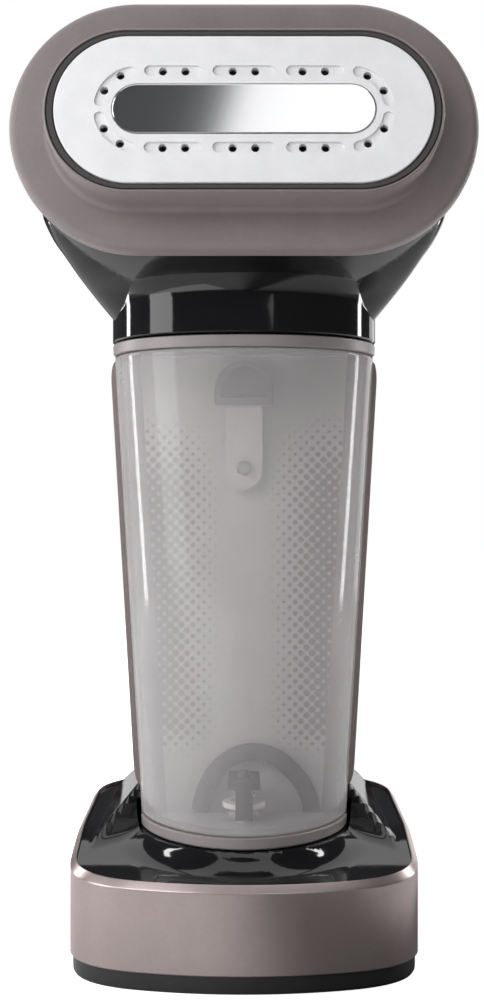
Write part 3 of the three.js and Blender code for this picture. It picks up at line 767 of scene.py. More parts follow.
class Palette:
    """Every finish of the steamer."""

    SOFT = Finish(
        "mauve_soft_touch", "soft_touch", (0.2, 0.166, 0.168), 0.5, grain_scale=5.0,
        grain_depth=0.012, mottle=0.07, sheen=0.08, bounce=0.45,
    )
    CAP = Finish(
        "mauve_cap", "soft_touch", (0.25, 0.222, 0.222), 0.42, grain_scale=6.0,
        grain_depth=0.008, mottle=0.05,
    )
    BAND = Finish(
        "mauve_metal_band", "band_metal", (0.4, 0.335, 0.33), 0.3, metallic=0.82,
        grain=Grain.BRUSHED, grain_scale=2.5, grain_depth=0.003, mottle=0.05, gloss_wander=0.06,
    )
    GLOSS = Finish(
        "gloss_black_shell", "gloss_black", (0.008, 0.008, 0.009), 0.07, grain_scale=0.35,
        grain_depth=0.004, mottle=0.2, gloss_wander=0.035, coat=0.1, coat_roughness=0.02, bounce=0.4,
    )
    SATIN = Finish(
        "satin_black_plastic", "satin_black", (0.014, 0.014, 0.015), 0.42, grain=Grain.CAST,
        grain_scale=3.5, grain_depth=0.02, mottle=0.15,
    )
    PEARL = Finish(
        "pearl_ceramic_plate", "pearl_plate", (0.76, 0.76, 0.77), 0.4, metallic=0.1,
        grain=Grain.CAST, grain_scale=2.6, grain_depth=0.010, mottle=0.035, mottle_scale=0.12,
        gloss_wander=0.08,
    )
    MIRROR = Finish(
        "mirror_face", "mirror_face", (0.84, 0.84, 0.84), 0.014, metallic=1.0, grain_scale=0.4,
        grain_depth=0.0003, mottle=0.02, gloss_wander=0.012,
    )
    RUBBER = Finish(
        "dark_rubber", "dark_rubber", (0.05, 0.048, 0.047), 0.6, grain_scale=6.0,
        grain_depth=0.02, mottle=0.12,
    )
    PALE = Finish(
        "pale_plastic", "pale_plastic", (0.62, 0.59, 0.58), 0.38, grain_scale=5.0,
        grain_depth=0.008, mottle=0.04,
    )
    ALLOY = Finish(
        "cast_alloy", "cast_alloy", (0.55, 0.55, 0.56), 0.45, metallic=1.0, grain=Grain.CAST,
        grain_scale=1.8, grain_depth=0.05, mottle=0.1,
    )
    STEEL = Finish(
        "bright_steel", "bright_steel", (0.56, 0.56, 0.57), 0.28, metallic=1.0,
        grain=Grain.BRUSHED, grain_scale=8.0, grain_depth=0.01, mottle=0.06,
    )
    COPPER = Finish(
        "wound_copper", "coil_copper", (0.6, 0.3, 0.15), 0.35, metallic=0.9, grain=Grain.WOUND,
        grain_scale=2.2, grain_depth=0.12, mottle=0.1,
    )
    BOARD = Finish(
        "board_lacquer", "board_green", (0.04, 0.15, 0.07), 0.35, grain_scale=4.0,
        grain_depth=0.02, mottle=0.12, coat=0.4,
    )
    SILICONE = Finish(
        "pale_silicone", "silicone", (0.6, 0.57, 0.53), 0.5, grain_scale=5.0,
        grain_depth=0.01, mottle=0.05,
    )
    CLEAR = ClearFinish(
        "tank_outer_face", "clear_tank", (0.74, 0.715, 0.72), 0.1, grain_scale=0.12,
        grain_depth=0.002, mottle=0.04, gloss_wander=0.04, coat=0.15, opacity=0.24,
        rim_opacity=0.6, index=1.6,
    )
    CLEAR_INNER = ClearFinish(
        "tank_inner_face", "clear_tank", (0.72, 0.7, 0.7), 0.25, grain_scale=0.12,
        grain_depth=0.002, mottle=0.04, opacity=0.07, rim_opacity=0.2, index=1.45,
    )
    DOTTED = DottedFinish(
        "dotted_column_wall", "soft_touch", (0.56, 0.52, 0.525), 0.45, grain_scale=5.0,
        grain_depth=0.01, mottle=0.05,
    )
    SEAL = Finish(
        "grey_seal", "dark_rubber", (0.17, 0.165, 0.17), 0.5, grain_scale=5.0,
        grain_depth=0.01, mottle=0.08,
    )


def present(
    thing: bpy.types.Object,
    finishes: Sequence[Finish],
    body: Rides,
    nodes: Sequence[str],
    crease: float = 32.0,
) -> bpy.types.Object:
    """Dresses a piece and hands it to the frame.

    Args:
        thing: The piece.
        finishes: Its finishes; the first gives its slot.
        body: What it moves with.
        nodes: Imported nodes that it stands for.
        crease: Edges sharper than this stay crisp.

    Returns:
        The same piece.
    """
    data = thing.data
    while len(data.materials) < len(finishes):
        data.materials.append(None)
    for i, finish in enumerate(finishes):
        data.materials[i] = finish.material()
    data.shade_smooth()
    data.set_sharp_from_angle(angle=math.radians(crease))
    even = thing.modifiers.new("even_shading", "WEIGHTED_NORMAL")
    even.keep_sharp = True
    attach(thing, body.value)
    if nodes:
        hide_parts(*nodes)
    LOG.info("%s: %d faces, moves with %s", thing.name, len(data.polygons), body.value)
    return thing


# ---------------------------------------------------------------- head front


@dataclass
class HeadFront:
    """The mauve ring, its gasket, the steam plate and the mirror insert."""

    flange: Flat = (151.2, 82.2)
    flange_rise: float = 0.9
    flange_back: float = -9.0
    tier: Flat = (124.6, 52.6)
    tier_front: float = 16.0
    lip: float = 0.8
    bore: Flat = (113.0, 43.0)
    plate: Flat = (117.9, 46.9)
    plate_back: float = 13.2
    plate_front: float = 16.4
    mirror: Flat = (81.5, 15.6)
    track_height: float = 12.25
    track_centre: float = 32.65
    slot_width: float = 3.4
    slot_depth: float = 0.8
    pocket_depth: float = 1.2
    hole: float = 1.3
    gap: float = 0.3
    arc_steps: int = 56

    def row(self, size: Flat, inset: float, level: float) -> list[Point]:
        """A stadium outline at a depth, drawn in by an inset."""
        rise = self.flange_rise if size == self.flange else 0.0
        bar = (size[0] - 2.0 * inset, size[1] - 2.0 * inset)
        return [(x, y, level) for x, y in stadium(*bar, (0.0, rise), self.arc_steps)]

    def ring(self) -> bpy.types.Object:
        """The flange with its rounded rim, the raised tier and its thin lip."""
        back = self.flange_back
        front = self.tier_front
        seat = self.plate_back - 0.5
        outside = [
            (3.0, back), (1.7, back + 0.35), (0.6, back + 1.3), (0.1, back + 2.6), (0.0, back + 4.0),
            (0.0, -1.8), (0.1, -1.0), (0.4, -0.25), (0.95, 0.4), (1.7, 0.8), (2.7, 0.97), (7.0, 1.0),
        ]
        foot = [(-2.2, 1.05), (-1.3, 1.3), (-0.65, 1.85), (-0.2, 2.8), (0.0, 4.2)]
        wall = [(0.0, front - 0.7), (0.08, front - 0.35), (0.25, front - 0.1), (0.42, front)]
        inner = [(self.lip - 0.12, front - 0.02), (self.lip, front - 0.2), (self.lip, seat)]
        rows = [self.row(self.flange, inset, level) for inset, level in outside]
        rows += [self.row(self.tier, inset, level) for inset, level in foot + wall + inner]
        rows += [self.row(self.bore, 0.0, seat), self.row(self.bore, 0.0, back)]
        return Form.wrapped(rows, looped=True).settled(HEAD_SPACE).thing("soft_ring")

    def gasket(self) -> bpy.types.Object:
        """The dark seal between the tier's lip and the plate."""
        outer = self.lip + self.gap
        top = self.tier_front - 0.1
        inner = (self.plate[0] + 2.0 * self.gap, self.plate[1] + 2.0 * self.gap)
        rows = [self.row(self.tier, outer, level) for level in (self.plate_back, top - 0.35)]
        rows += [self.row(self.tier, outer + 0.25, top), self.row(inner, -0.3, top)]
        rows += [self.row(inner, 0.0, top - 0.4), self.row(inner, 0.0, self.plate_back)]
        return Form.wrapped(rows, looped=True).settled(HEAD_SPACE).thing("seal_ring")

    def slots(self) -> list[Form]:
        """The recesses that the steam holes sit in."""
        low = self.plate_front - self.slot_depth
        high = self.plate_front + 1.0
        first, last = (math.radians(angle) for angle in (12.0, 77.0))
        outlines = []
        for side in (-1.0, 1.0):
            for place, length in ((-1.0, 17.9), (0.0, 19.5), (1.0, 17.9)):
                middle = (place * 21.95, side * self.track_height)
                outlines.append(stadium(length, self.slot_width, middle, 12))
            start, stop = (first, last) if side > 0.0 else (-last, -first)
            right = bent_slot(self.track_centre, self.track_height, start, stop, self.slot_width)
            outlines.append(right)
            outlines.append([(-x, y) for x, y in right])
        return [Form.raised(outline, low, high) for outline in outlines]

    def hole_places(self) -> list[Flat]:
        """Centres of the steam holes."""
        places = []
        for side in (-1.0, 1.0):
            for slot in (-21.65, 0.0, 21.65):
                places += [(slot + step, side * self.track_height) for step in (-3.5, 3.5)]
            for angle in (29.7, 62.6):
                turn = math.radians(angle)
                x = self.track_centre + self.track_height * math.cos(turn)
                y = self.track_height * math.sin(turn) * side
                places += [(x, y), (-x, y)]
        return places

    def steam_plate(self) -> bpy.types.Object:
        """The pearl plate with its slots, holes and the pocket for the mirror."""
        back, front = self.plate_back, self.plate_front
        edge = [(0.0, back), (0.0, front - 0.5), (0.06, front - 0.25), (0.22, front - 0.07)]
        edge.append((0.5, front))
        body = Form.wrapped([self.row(self.plate, inset, level) for inset, level in edge])
        pocket = (self.mirror[0] + 2.0 * self.gap, self.mirror[1] + 2.0 * self.gap)
        cuts = self.slots()
        cuts += [Form.raised(stadium(*pocket, arc_steps=36), front - self.pocket_depth, front + 1.0)]
        for x, y in self.hole_places():
            cuts.append(Form.rod(self.hole, (x, y, back - 1.0), (x, y, front + 1.0), 28))
        return rounded(combine("steam_plate_face", body, cutting(*cuts), HEAD_SPACE), 0.28, 3, 50.0)

    def mirror_insert(self) -> bpy.types.Object:
        """The polished insert in the middle of the plate."""
        low = self.plate_front - self.pocket_depth + self.gap
        edge = [(0.0, low), (0.0, low + 0.8), (0.08, low + 0.94), (0.25, low + 1.0)]
        rows = [self.row(self.mirror, inset, level) for inset, level in edge]
        return Form.wrapped(rows).settled(HEAD_SPACE).thing("polished_insert")

    def build(self) -> None:
        """Makes and dresses every piece."""
        present(self.ring(), [Palette.SOFT], Rides.MAIN, ["head_ring"])
        present(self.gasket(), [Palette.RUBBER], Rides.MAIN, ["plate_gasket"])
        present(self.steam_plate(), [Palette.PEARL], Rides.MAIN, ["steam_plate"], 30.0)
        present(self.mirror_insert(), [Palette.MIRROR], Rides.MAIN, ["mirror_insert"], 12.0)


# ---------------------------------------------------------------- tank and column


@dataclass
class TankShape:
    """The tapering plan that the tank, its caps, the neck and the column share."""

    low: float = 44.0
    high: float = 218.0
    low_half: float = 38.0
    high_half: float = 48.1
    front: float = 22.0
    depth: float = 44.0
    back: float = 58.0
    bow_count: int = 97

    def rise(self, z: float) -> float:
        """0 at the tank's foot and 1 at its top."""
        return (z - self.low) / (self.high - self.low)

    def half(self, z: float) -> float:
        """Half of the width at a height."""
        return blend(self.low_half, self.high_half, self.rise(z))

    def plan(self, z: float, grow: float = 0.0, back: float | None = None) -> list[Flat]:
        """The outline at a height: bowed front and flat back.

        Args:
            z: Height that sets its width and squareness.
            grow: How far it is let out.
            back: Where the flat back stands.

        Returns:
            The outline's points.
        """
        back = self.back if back is None else back
        power = blend(1.9, 2.25, self.rise(z))
        middle = self.front + self.depth
        depth = self.depth + grow
        turn = math.asin(((middle - back) / depth) ** (power / 2.0)) if back < middle else 0.0
        sweep = (math.pi + turn, 2.0 * math.pi - turn)
        bow = oval(self.half(z) + grow, depth, power, middle, self.bow_count, *sweep)
        if back > middle:
            bow += [(bow[-1][0], back), (bow[0][0], back)]
        return bow

    def row(self, z: float, grow: float = 0.0, back: float | None = None) -> list[Point]:
        """The outline as points at that height."""
        return [(x, y, z) for x, y in self.plan(z, grow, back)]


@dataclass
class Tank:
    """The see-through tank, its caps, the filler and the outlet valve."""

    shape: TankShape = field(default_factory=TankShape)
    foot: float = 48.0
    crown: float = 213.6
    wall: float = 2.0
    valve_y: float = 46.0
    rivet_z: float = 173.3
    filler_radius: float = 10.8
    filler_middle: float = 201.6
    filler_low: float = 196.2

    def filler_outline(self, inset: float) -> list[Flat]:
        """The D of the filler, round above and flat below."""
        radius = self.filler_radius - inset
        low = self.filler_low + inset
        steps = 40
        arc = [math.pi * i / steps for i in range(steps + 1)]
        points = [(radius * math.cos(a), self.filler_middle + radius * math.sin(a)) for a in arc]
        return points + [(-radius, low), (radius, low)]

    def body(self) -> bpy.types.Object:
        """The tank's wall with its filler mouth and outlet."""
        low, high = self.foot, self.crown
        levels = [(low, -1.6), (low + 0.25, -1.1), (low + 0.7, -0.65), (low + 1.3, -0.4)]
        levels += [(blend(low, high, i / 12.0), -0.4) for i in range(1, 12)]
        levels += [(high - 1.3, -0.4), (high - 0.7, -0.6), (high - 0.25, -1.0), (high, -1.6)]
        outside = Form.wrapped([self.shape.row(z, grow) for z, grow in levels])
        inner_back = self.shape.back - self.wall
        inner = [(low + 2.0, -3.6), (low + 2.6, -2.8), (low + 3.6, -2.4), (130.0, -2.4)]
        inner += [(high - 3.4, -2.4), (high - 2.0, -3.0)]
        inside = Form.wrapped([self.shape.row(z, grow, inner_back) for z, grow in inner])
        y = self.valve_y
        collar = Form.rod(5.5, (0.0, y, low + 1.0), (0.0, y, low + 4.8))
        outlet = Form.rod(3.3, (0.0, y, low - 2.0), (0.0, y, low + 8.0))
        mouth = Form.slab(self.filler_outline(2.4), 50.0, 60.0)
        thing = combine("tank_wall", outside, cutting(inside) + adding(collar) + cutting(outlet, mouth))
        self.mark_inside(thing)
        return rounded(thing, 0.7, 3, 50.0)

    def mark_inside(self, thing: bpy.types.Object) -> None:
        """Gives the flat back and the faces that look into the tank the inner finish."""
        thing.data.materials.clear()
        thing.data.materials.append(None)
        thing.data.materials.append(None)
        middle = PART_SPACE @ Vector((0.0, self.shape.front + self.shape.depth * 0.5, 130.0))
        for face in thing.data.polygons:
            inward = (middle - face.center).dot(face.normal) > 0.0
            face.material_index = 1 if inward or face.normal.y > 0.9 else 0

    def cap(self, name: str, levels: Sequence[Flat]) -> bpy.types.Object:
        """A matte cap through heights and insets."""
        rows = [self.shape.row(z, -inset) for z, inset in levels]
        bore = Form.rod(3.4, (0.0, self.valve_y, 40.0), (0.0, self.valve_y, 50.0))
        return rounded(combine(name, Form.wrapped(rows), cutting(bore)), 0.35, 2, 60.0)

    def seal(self) -> bpy.types.Object:
        """The filler's rubber D with the cross rib moulded on its inner face."""
        near = self.shape.back + 0.3
        plate = Form.slab(self.filler_outline(0.0), near + 0.7, 60.6)
        ribs = [
            Form.block((-1.1, near, 198.4), (1.1, near + 1.2, 209.6)),
            Form.block((-6.6, near, 200.6), (6.6, near + 1.2, 202.4)),
            Form.slab(stadium(4.2, 4.2, (0.0, 204.8), 16), near, near + 1.2),
        ]
        return rounded(combine("filler_plug", plate, adding(*ribs)), 0.25, 2)

    def arm(self) -> bpy.types.Object:
        """The pale arm that carries the seal and turns on the rivet."""
        steps = 28
        arc = [math.pi + math.pi * i / steps for i in range(steps + 1)]
        foot = self.rivet_z - 1.0
        outline = [(6.7 * math.cos(a), foot + 6.7 * math.sin(a)) for a in arc]
        outline += [(6.7, 200.0), (-6.7, 200.0)]
        depths = (60.9, 63.1)
        plate = Form.slab(outline, *depths)
        bore = Form.rod(2.55, (0.0, 60.0, self.rivet_z), (0.0, 64.0, self.rivet_z))
        head = Form.slab(self.filler_outline(1.0), *depths)
        return rounded(combine("filler_arm_plate", plate, adding(head) + cutting(bore)), 0.4, 3)

    def rivet(self) -> bpy.types.Object:
        """The steel rivet, with a domed head."""
        profile = [
            (0.0, 0.0), (2.2, 0.0), (2.2, 5.2), (3.4, 5.2), (3.6, 5.4), (3.3, 5.9), (2.2, 6.2),
            (0.0, 6.3),
        ]
        place = (0.0, self.shape.back + 0.3, self.rivet_z)
        return Form.turned(profile, 36).tipped(-90.0).moved(place).settled(PART_SPACE).thing("pivot_rivet")

    def valve(self) -> bpy.types.Object:
        """The T-shaped outlet valve."""
        profile = [
            (0.0, 44.6), (2.4, 44.6), (2.8, 45.0), (2.8, 52.4), (3.2, 53.0), (7.2, 53.1), (7.6, 53.5),
            (7.6, 54.7), (7.2, 55.1), (4.6, 55.1), (4.3, 54.8), (0.0, 54.8),
        ]
        form = Form.turned(profile, 48).moved((0.0, self.valve_y, 0.0))
        return form.settled(PART_SPACE).thing("outlet_valve")

    def build(self) -> None:
        """Makes and dresses every piece."""
        present(self.body(), [Palette.CLEAR, Palette.CLEAR_INNER], Rides.TANK, ["tank_body"])
        high = self.shape.high
        crown = [(high - 4.1, 0.25), (high - 3.85, 0.0), (high - 0.9, 0.0), (high - 0.3, 0.25)]
        crown.append((high, 0.8))
        foot = [(43.6, 0.9), (43.8, 0.4), (44.3, 0.0), (47.4, 0.0), (47.7, 0.25)]
        top = self.cap("tank_crown_cap", crown)
        present(top, [Palette.CAP], Rides.TANK, ["tank_top_trim"])
        low = self.cap("tank_foot_cap", foot)
        present(low, [Palette.CAP], Rides.TANK, ["tank_bottom_trim"])
        present(self.seal(), [Palette.SEAL], Rides.FILLER, ["filler_seal"])
        present(self.arm(), [Palette.PALE], Rides.FILLER, ["filler_arm"])
        present(self.rivet(), [Palette.STEEL], Rides.TANK, ["filler_rivet"])
        present(self.valve(), [Palette.PALE], Rides.VALVE, ["tank_valve"])
        bridge = rounded(merged_copy("valve_bridge", "valve_yoke"), 0.3, 2)
        present(bridge, [Palette.SATIN], Rides.TANK, ["valve_bridge"])


@dataclass
class Column:
    """The mauve tray behind the tank and the hose arch at its foot."""

    shape: TankShape = field(default_factory=TankShape)
    front: float = 58.6
    wall: float = 66.0
    back: float = 68.0
    shoulder_low: float = 58.0
    shoulder_high: float = 212.0
    proud: float = 1.0
    foot: float = 43.6
    crown: float = 217.7
    corner: float = 9.0
    hose_radius: float = 3.2
    hose_y: float = 62.0
    hose_squeeze: float = 0.9
    hose_knots: tuple[Flat, ...] = (
        (-17.5, 43.3), (-17.0, 52.0), (-11.0, 63.0), (0.0, 69.0),
        (12.0, 67.5), (22.0, 60.0), (27.0, 51.0), (28.0, 43.3),
    )

    def standing_proud(self, z: float) -> float:
        """How far the tray stands out of the tank's width at a height."""
        inside = min(z - self.shoulder_low, self.shoulder_high - z)
        if inside <= 0.0:
            return -1.0
        turn = min(inside / 8.0, 1.0)
        return -1.0 + (self.proud + 1.0) * math.sqrt(1.0 - (1.0 - turn) ** 2)

    def row(self, z: float) -> list[Point]:
        """The tray's section at a height: round outer corners, slanted inner ones."""
        half = self.shape.half(z) + self.standing_proud(z)
        rim = self.shape.half(z) - 2.6
        right = [(half, self.front)]
        for i in range(13):
            angle = math.pi / 2.0 * i / 12.0
            x = half - self.corner + self.corner * math.cos(angle)
            right.append((x, self.back - self.corner + self.corner * math.sin(angle)))
        left = [(-x, y) for x, y in reversed(right)]
        pocket = [(-rim, self.front), (-rim, self.wall - 6.0), (7.0 - rim, self.wall)]
        outline = right + left + pocket + [(-x, y) for x, y in reversed(pocket)]
        return [(x, y, z) for x, y in outline]

    def tray(self) -> bpy.types.Object:
        """The tray with its rounded shoulders and dotted front wall."""
        turns = [8.0 * (1.0 - math.cos(math.pi / 2.0 * i / 10.0)) for i in range(11)]
        levels = [self.foot] + [self.shoulder_low + turn for turn in turns]
        levels += [blend(66.0, 204.0, i / 12.0) for i in range(1, 12)]
        levels += [self.shoulder_high - turn for turn in reversed(turns)] + [self.crown]
        thing = Form.wrapped([self.row(z) for z in levels]).settled(PART_SPACE).thing("column_tray")
        thing.data.materials.append(None)
        thing.data.materials.append(None)
        deep = (self.wall - 1.0 + SHIFT) * MM
        for face in thing.data.polygons:
            face.material_index = 1 if face.normal.y < -0.9 and face.center.y > deep else 0
        return thing

    def arch(self) -> bpy.types.Object:
        """The dark arch of hose behind the foot of the tank."""
        path = [(x * self.hose_squeeze, self.hose_y, z) for x, z in curve_through(self.hose_knots, 8)]
        return Form.hose(path, self.hose_radius).settled(PART_SPACE).thing("hose_arch")

    def build(self) -> None:
        """Makes and dresses every piece."""
        tray = rounded(self.tray(), 0.5, 2, 50.0)
        present(tray, [Palette.SOFT, Palette.DOTTED], Rides.MAIN, ["column_shell"])
        present(self.arch(), [Palette.RUBBER], Rides.MAIN, ["vent_hose"])


# ---------------------------------------------------------------- head covers


@dataclass
class HeadCovers:
    """The gloss shells behind the ring, the neck and the power button."""

    shape: TankShape = field(default_factory=TankShape)
    wall: float = 2.2
    gap: float = 0.3
    neck_foot: float = 218.6
    neck_back: float = 68.0
    fillet: float = 6.0
    button_y: float = 69.0
    hull_sides: int = 128
    tip_depth: float = -119.9
    tip_height: float = -19.9
    funnel_plans: tuple[tuple[float, ...], ...] = (
        (224.5, 45.2, 54.0, 40.0, 64.0), (227.0, 47.4, 54.0, 38.0, 64.5),
        (234.0, 53.2, 48.0, 34.0, 68.0), (240.0, 57.8, 40.0, 26.0, 72.0),
        (246.0, 61.9, 35.0, 19.0, 76.0), (251.0, 65.4, 32.0, 15.0, 79.0),
        (258.0, 68.6, 30.0, 12.0, 82.0), (264.0, 69.3, 30.0, 12.0, 84.0),
    )
    sections: tuple[tuple[float, ...], ...] = (
        (-9.3, 71.0, 37.0, 0.4, 2.3), (-24.0, 71.5, 37.8, -3.0, 2.4),
        (-42.0, 69.5, 38.8, -6.2, 2.5), (-60.0, 63.0, 39.0, -8.0, 2.5),
        (-76.0, 54.0, 36.7, -7.8, 2.4), (-94.0, 41.5, 30.0, -10.0, 2.3),
        (-110.0, 28.0, 20.5, -14.5, 2.2), (-117.6, 19.0, 14.0, -18.6, 2.15),
        (-119.6, 13.5, 9.6, -19.8, 2.1),
    )

    def smooth_sections(self) -> list[tuple[float, ...]]:
        """Depth, half width, half height, centre and squareness at close steps."""
        return curve_through(self.sections, 5)

    def hull(self, grow: float = 0.0, first: float | None = None) -> Form:
        """The head's closed bulk, in the head's own space.

        Args:
            grow: How far it is let out.
            first: Depth of its front end, where that differs.

        Returns:
            The closed shape.
        """
        rows = []
        front = self.sections[0][0]
        for i, (depth, half, tall, centre, power) in enumerate(self.smooth_sections()):
            level = first if i == 0 and first is not None else depth
            level = min(level, front) if first is None else level
            line = oval(half + grow, tall + grow, power, centre, self.hull_sides)
            rows.append([(x, y, level) for x, y in line])
        tip = self.tip_depth - grow
        rows.append([(blend(x, 0.0, 0.5), blend(y, self.tip_height, 0.5), tip) for x, y, _ in rows[-1]])
        rows.append([(0.0, self.tip_height, tip)] * self.hull_sides)
        return Form.wrapped(rows)

    def funnel(self, grow: float = 0.0) -> Form:
        """The bulk that widens from the neck into the head.

        Args:
            grow: How far it is let out.

        Returns:
            The closed shape.
        """
        rows = []
        for z, half, middle, front, back in curve_through(self.funnel_plans, 4):
            line = oval(half + grow, middle - front + grow, 2.25, middle, 65, math.pi, 2.0 * math.pi)
            rear = oval(half + grow, back - middle + grow, 2.5, middle, 65, 0.0, math.pi)
            rows.append([(x, y, z) for x, y in line + rear[1:-1]])
        return Form.wrapped(rows)

    def underside(self, x: float, y: float) -> float:
        """Height of the hull's underside over a place on the plan."""
        table = self.smooth_sections()
        lift = -44.0
        lean, upright = math.sin(HEAD_LEAN), math.cos(HEAD_LEAN)
        for _ in range(5):
            depth = (lean * lift - y) / upright
            pairs = [pair for pair in zip(table, table[1:]) if pair[1][0] <= depth] or [table[-2:]]
            first, last = pairs[0]
            share = min(max((depth - first[0]) / (last[0] - first[0]), 0.0), 1.0)
            _, half, tall, centre, power = (blend(a, b, share) for a, b in zip(first, last))
            room = max(1.0 - abs(x / half) ** power, 0.0)
            lift = centre - tall * room ** (1.0 / power)
        return HEAD_HEIGHT + upright * lift + lean * (lean * lift - y) / upright

    def neck_bulk(self) -> Form:
        """The neck, flaring into the underside of the head."""
        top = self.shape.high
        base = self.shape.plan(top, 0.0, self.neck_back)
        start = [self.underside(x, y) - self.fillet for x, y in base]
        rows = [[(x, y, self.neck_foot) for x, y in self.shape.plan(top, -0.5, self.neck_back)]]
        rows.append([(x, y, self.neck_foot + 0.5) for x, y in base])
        for share in (0.35, 0.7, 1.0):
            least = self.neck_foot + 0.6 + share
            level = [max(blend(self.neck_foot + 0.5, z, share), least) for z in start]
            rows.append([(x, y, z) for (x, y), z in zip(base, level)])
        for i in range(1, 11):
            turn = math.pi / 2.0 * i / 10.0
            grow = self.fillet * 0.8 * (1.0 - math.cos(turn))
            left = self.fillet * (1.0 - math.sin(turn)) - 0.6 * i / 10.0
            plan = self.shape.plan(top, grow, self.neck_back)
            least = self.neck_foot + 1.7 + i * 0.05
            level = [max(self.underside(x, y) - left, least) for x, y in plan]
            rows.append([(x, y, z) for (x, y), z in zip(plan, level)])
        rows.append([(x * 0.9, 45.0 + (y - 45.0) * 0.9, z + 3.0) for x, y, z in rows[-1]])
        return Form.wrapped(rows)

    def neck_room(self, low: float) -> Form:
        """The space inside the neck from a height up."""
        plan = self.shape.plan(self.shape.high, -self.wall, self.neck_back - self.wall)
        return Form.raised(plan, low, 256.0)

    def cover(
        self, name: str, side: float, first: Sequence[Form], last: Sequence[Form]
    ) -> bpy.types.Object:
        """The upper (1) or lower (-1) cover.

        Args:
            name: Name of the piece.
            side: Which side of the seam it is on.
            first: Shapes added to the hull.
            last: Shapes taken away.

        Returns:
            The piece.
        """
        turn = PART_SPACE.inverted() @ HEAD_SPACE
        low, high = sorted((side * self.gap / 2.0, side * 120.0))
        space = Form.block((-100.0, low, -160.0), (100.0, high, 20.0)).settled(turn)
        steps = adding(*first) + cutting(self.hull(-self.wall, -5.0).settled(turn), *last)
        shell = combine(name, self.hull().settled(turn), [*steps, ("INTERSECT", space)])
        return rounded(shell, 0.3, 2, 50.0)

    def lower(self) -> bpy.types.Object:
        """The lower cover with the neck and the holes for the tank's catch."""
        holes = [
            self.funnel(-self.wall),
            self.neck_room(self.neck_foot + self.wall),
            Form.block((-5.6, 51.4, 217.0), (5.6, 56.6, 223.0)),
            Form.block((-6.6, 64.0, 221.1), (6.6, 70.0, 228.7)),
        ]
        return self.cover("gloss_cover_and_neck", -1.0, [self.funnel(), self.neck_bulk()], holes)

    def upper(self) -> bpy.types.Object:
        """The upper cover with the hole for the button."""
        hole = Form.rod(7.4, (0.0, self.button_y, 290.0), (0.0, self.button_y, 315.0), 64)
        return self.cover("gloss_cover_top", 1.0, [], [hole])

    def button(self) -> bpy.types.Object:
        """The power button with a dished, softly rounded cap."""
        profile = [
            (0.0, 294.5), (8.5, 294.5), (8.5, 296.8), (8.3, 297.0), (7.0, 297.0), (7.0, 305.3),
            (6.85, 305.9), (6.4, 306.35), (5.8, 306.5), (4.6, 306.3), (3.2, 306.1), (2.6, 306.05),
            (2.6, 305.2), (0.0, 305.2),
        ]
        form = Form.turned(profile, 64).moved((0.0, self.button_y, 0.0))
        return form.settled(PART_SPACE).thing("power_cap")

    def lens(self) -> bpy.types.Object:
        """The button's small domed lens."""
        profile = [
            (0.0, 305.5), (2.3, 305.5), (2.3, 306.2), (2.0, 306.5), (1.2, 306.8), (0.0, 306.9),
        ]
        form = Form.turned(profile, 40).moved((0.0, self.button_y, 0.0))
        return form.settled(PART_SPACE).thing("power_lens_dome")

    def build(self) -> None:
        """Makes and dresses every piece."""
        present(self.upper(), [Palette.GLOSS], Rides.MAIN, ["head_cover_top"])
        present(self.lower(), [Palette.GLOSS], Rides.MAIN, ["head_cover_bottom", "neck_collar"])
        present(self.button(), [Palette.SOFT], Rides.BUTTON, ["power_button"])
        present(self.lens(), [Palette.PALE], Rides.BUTTON, ["power_lens"])


# ---------------------------------------------------------------- handle


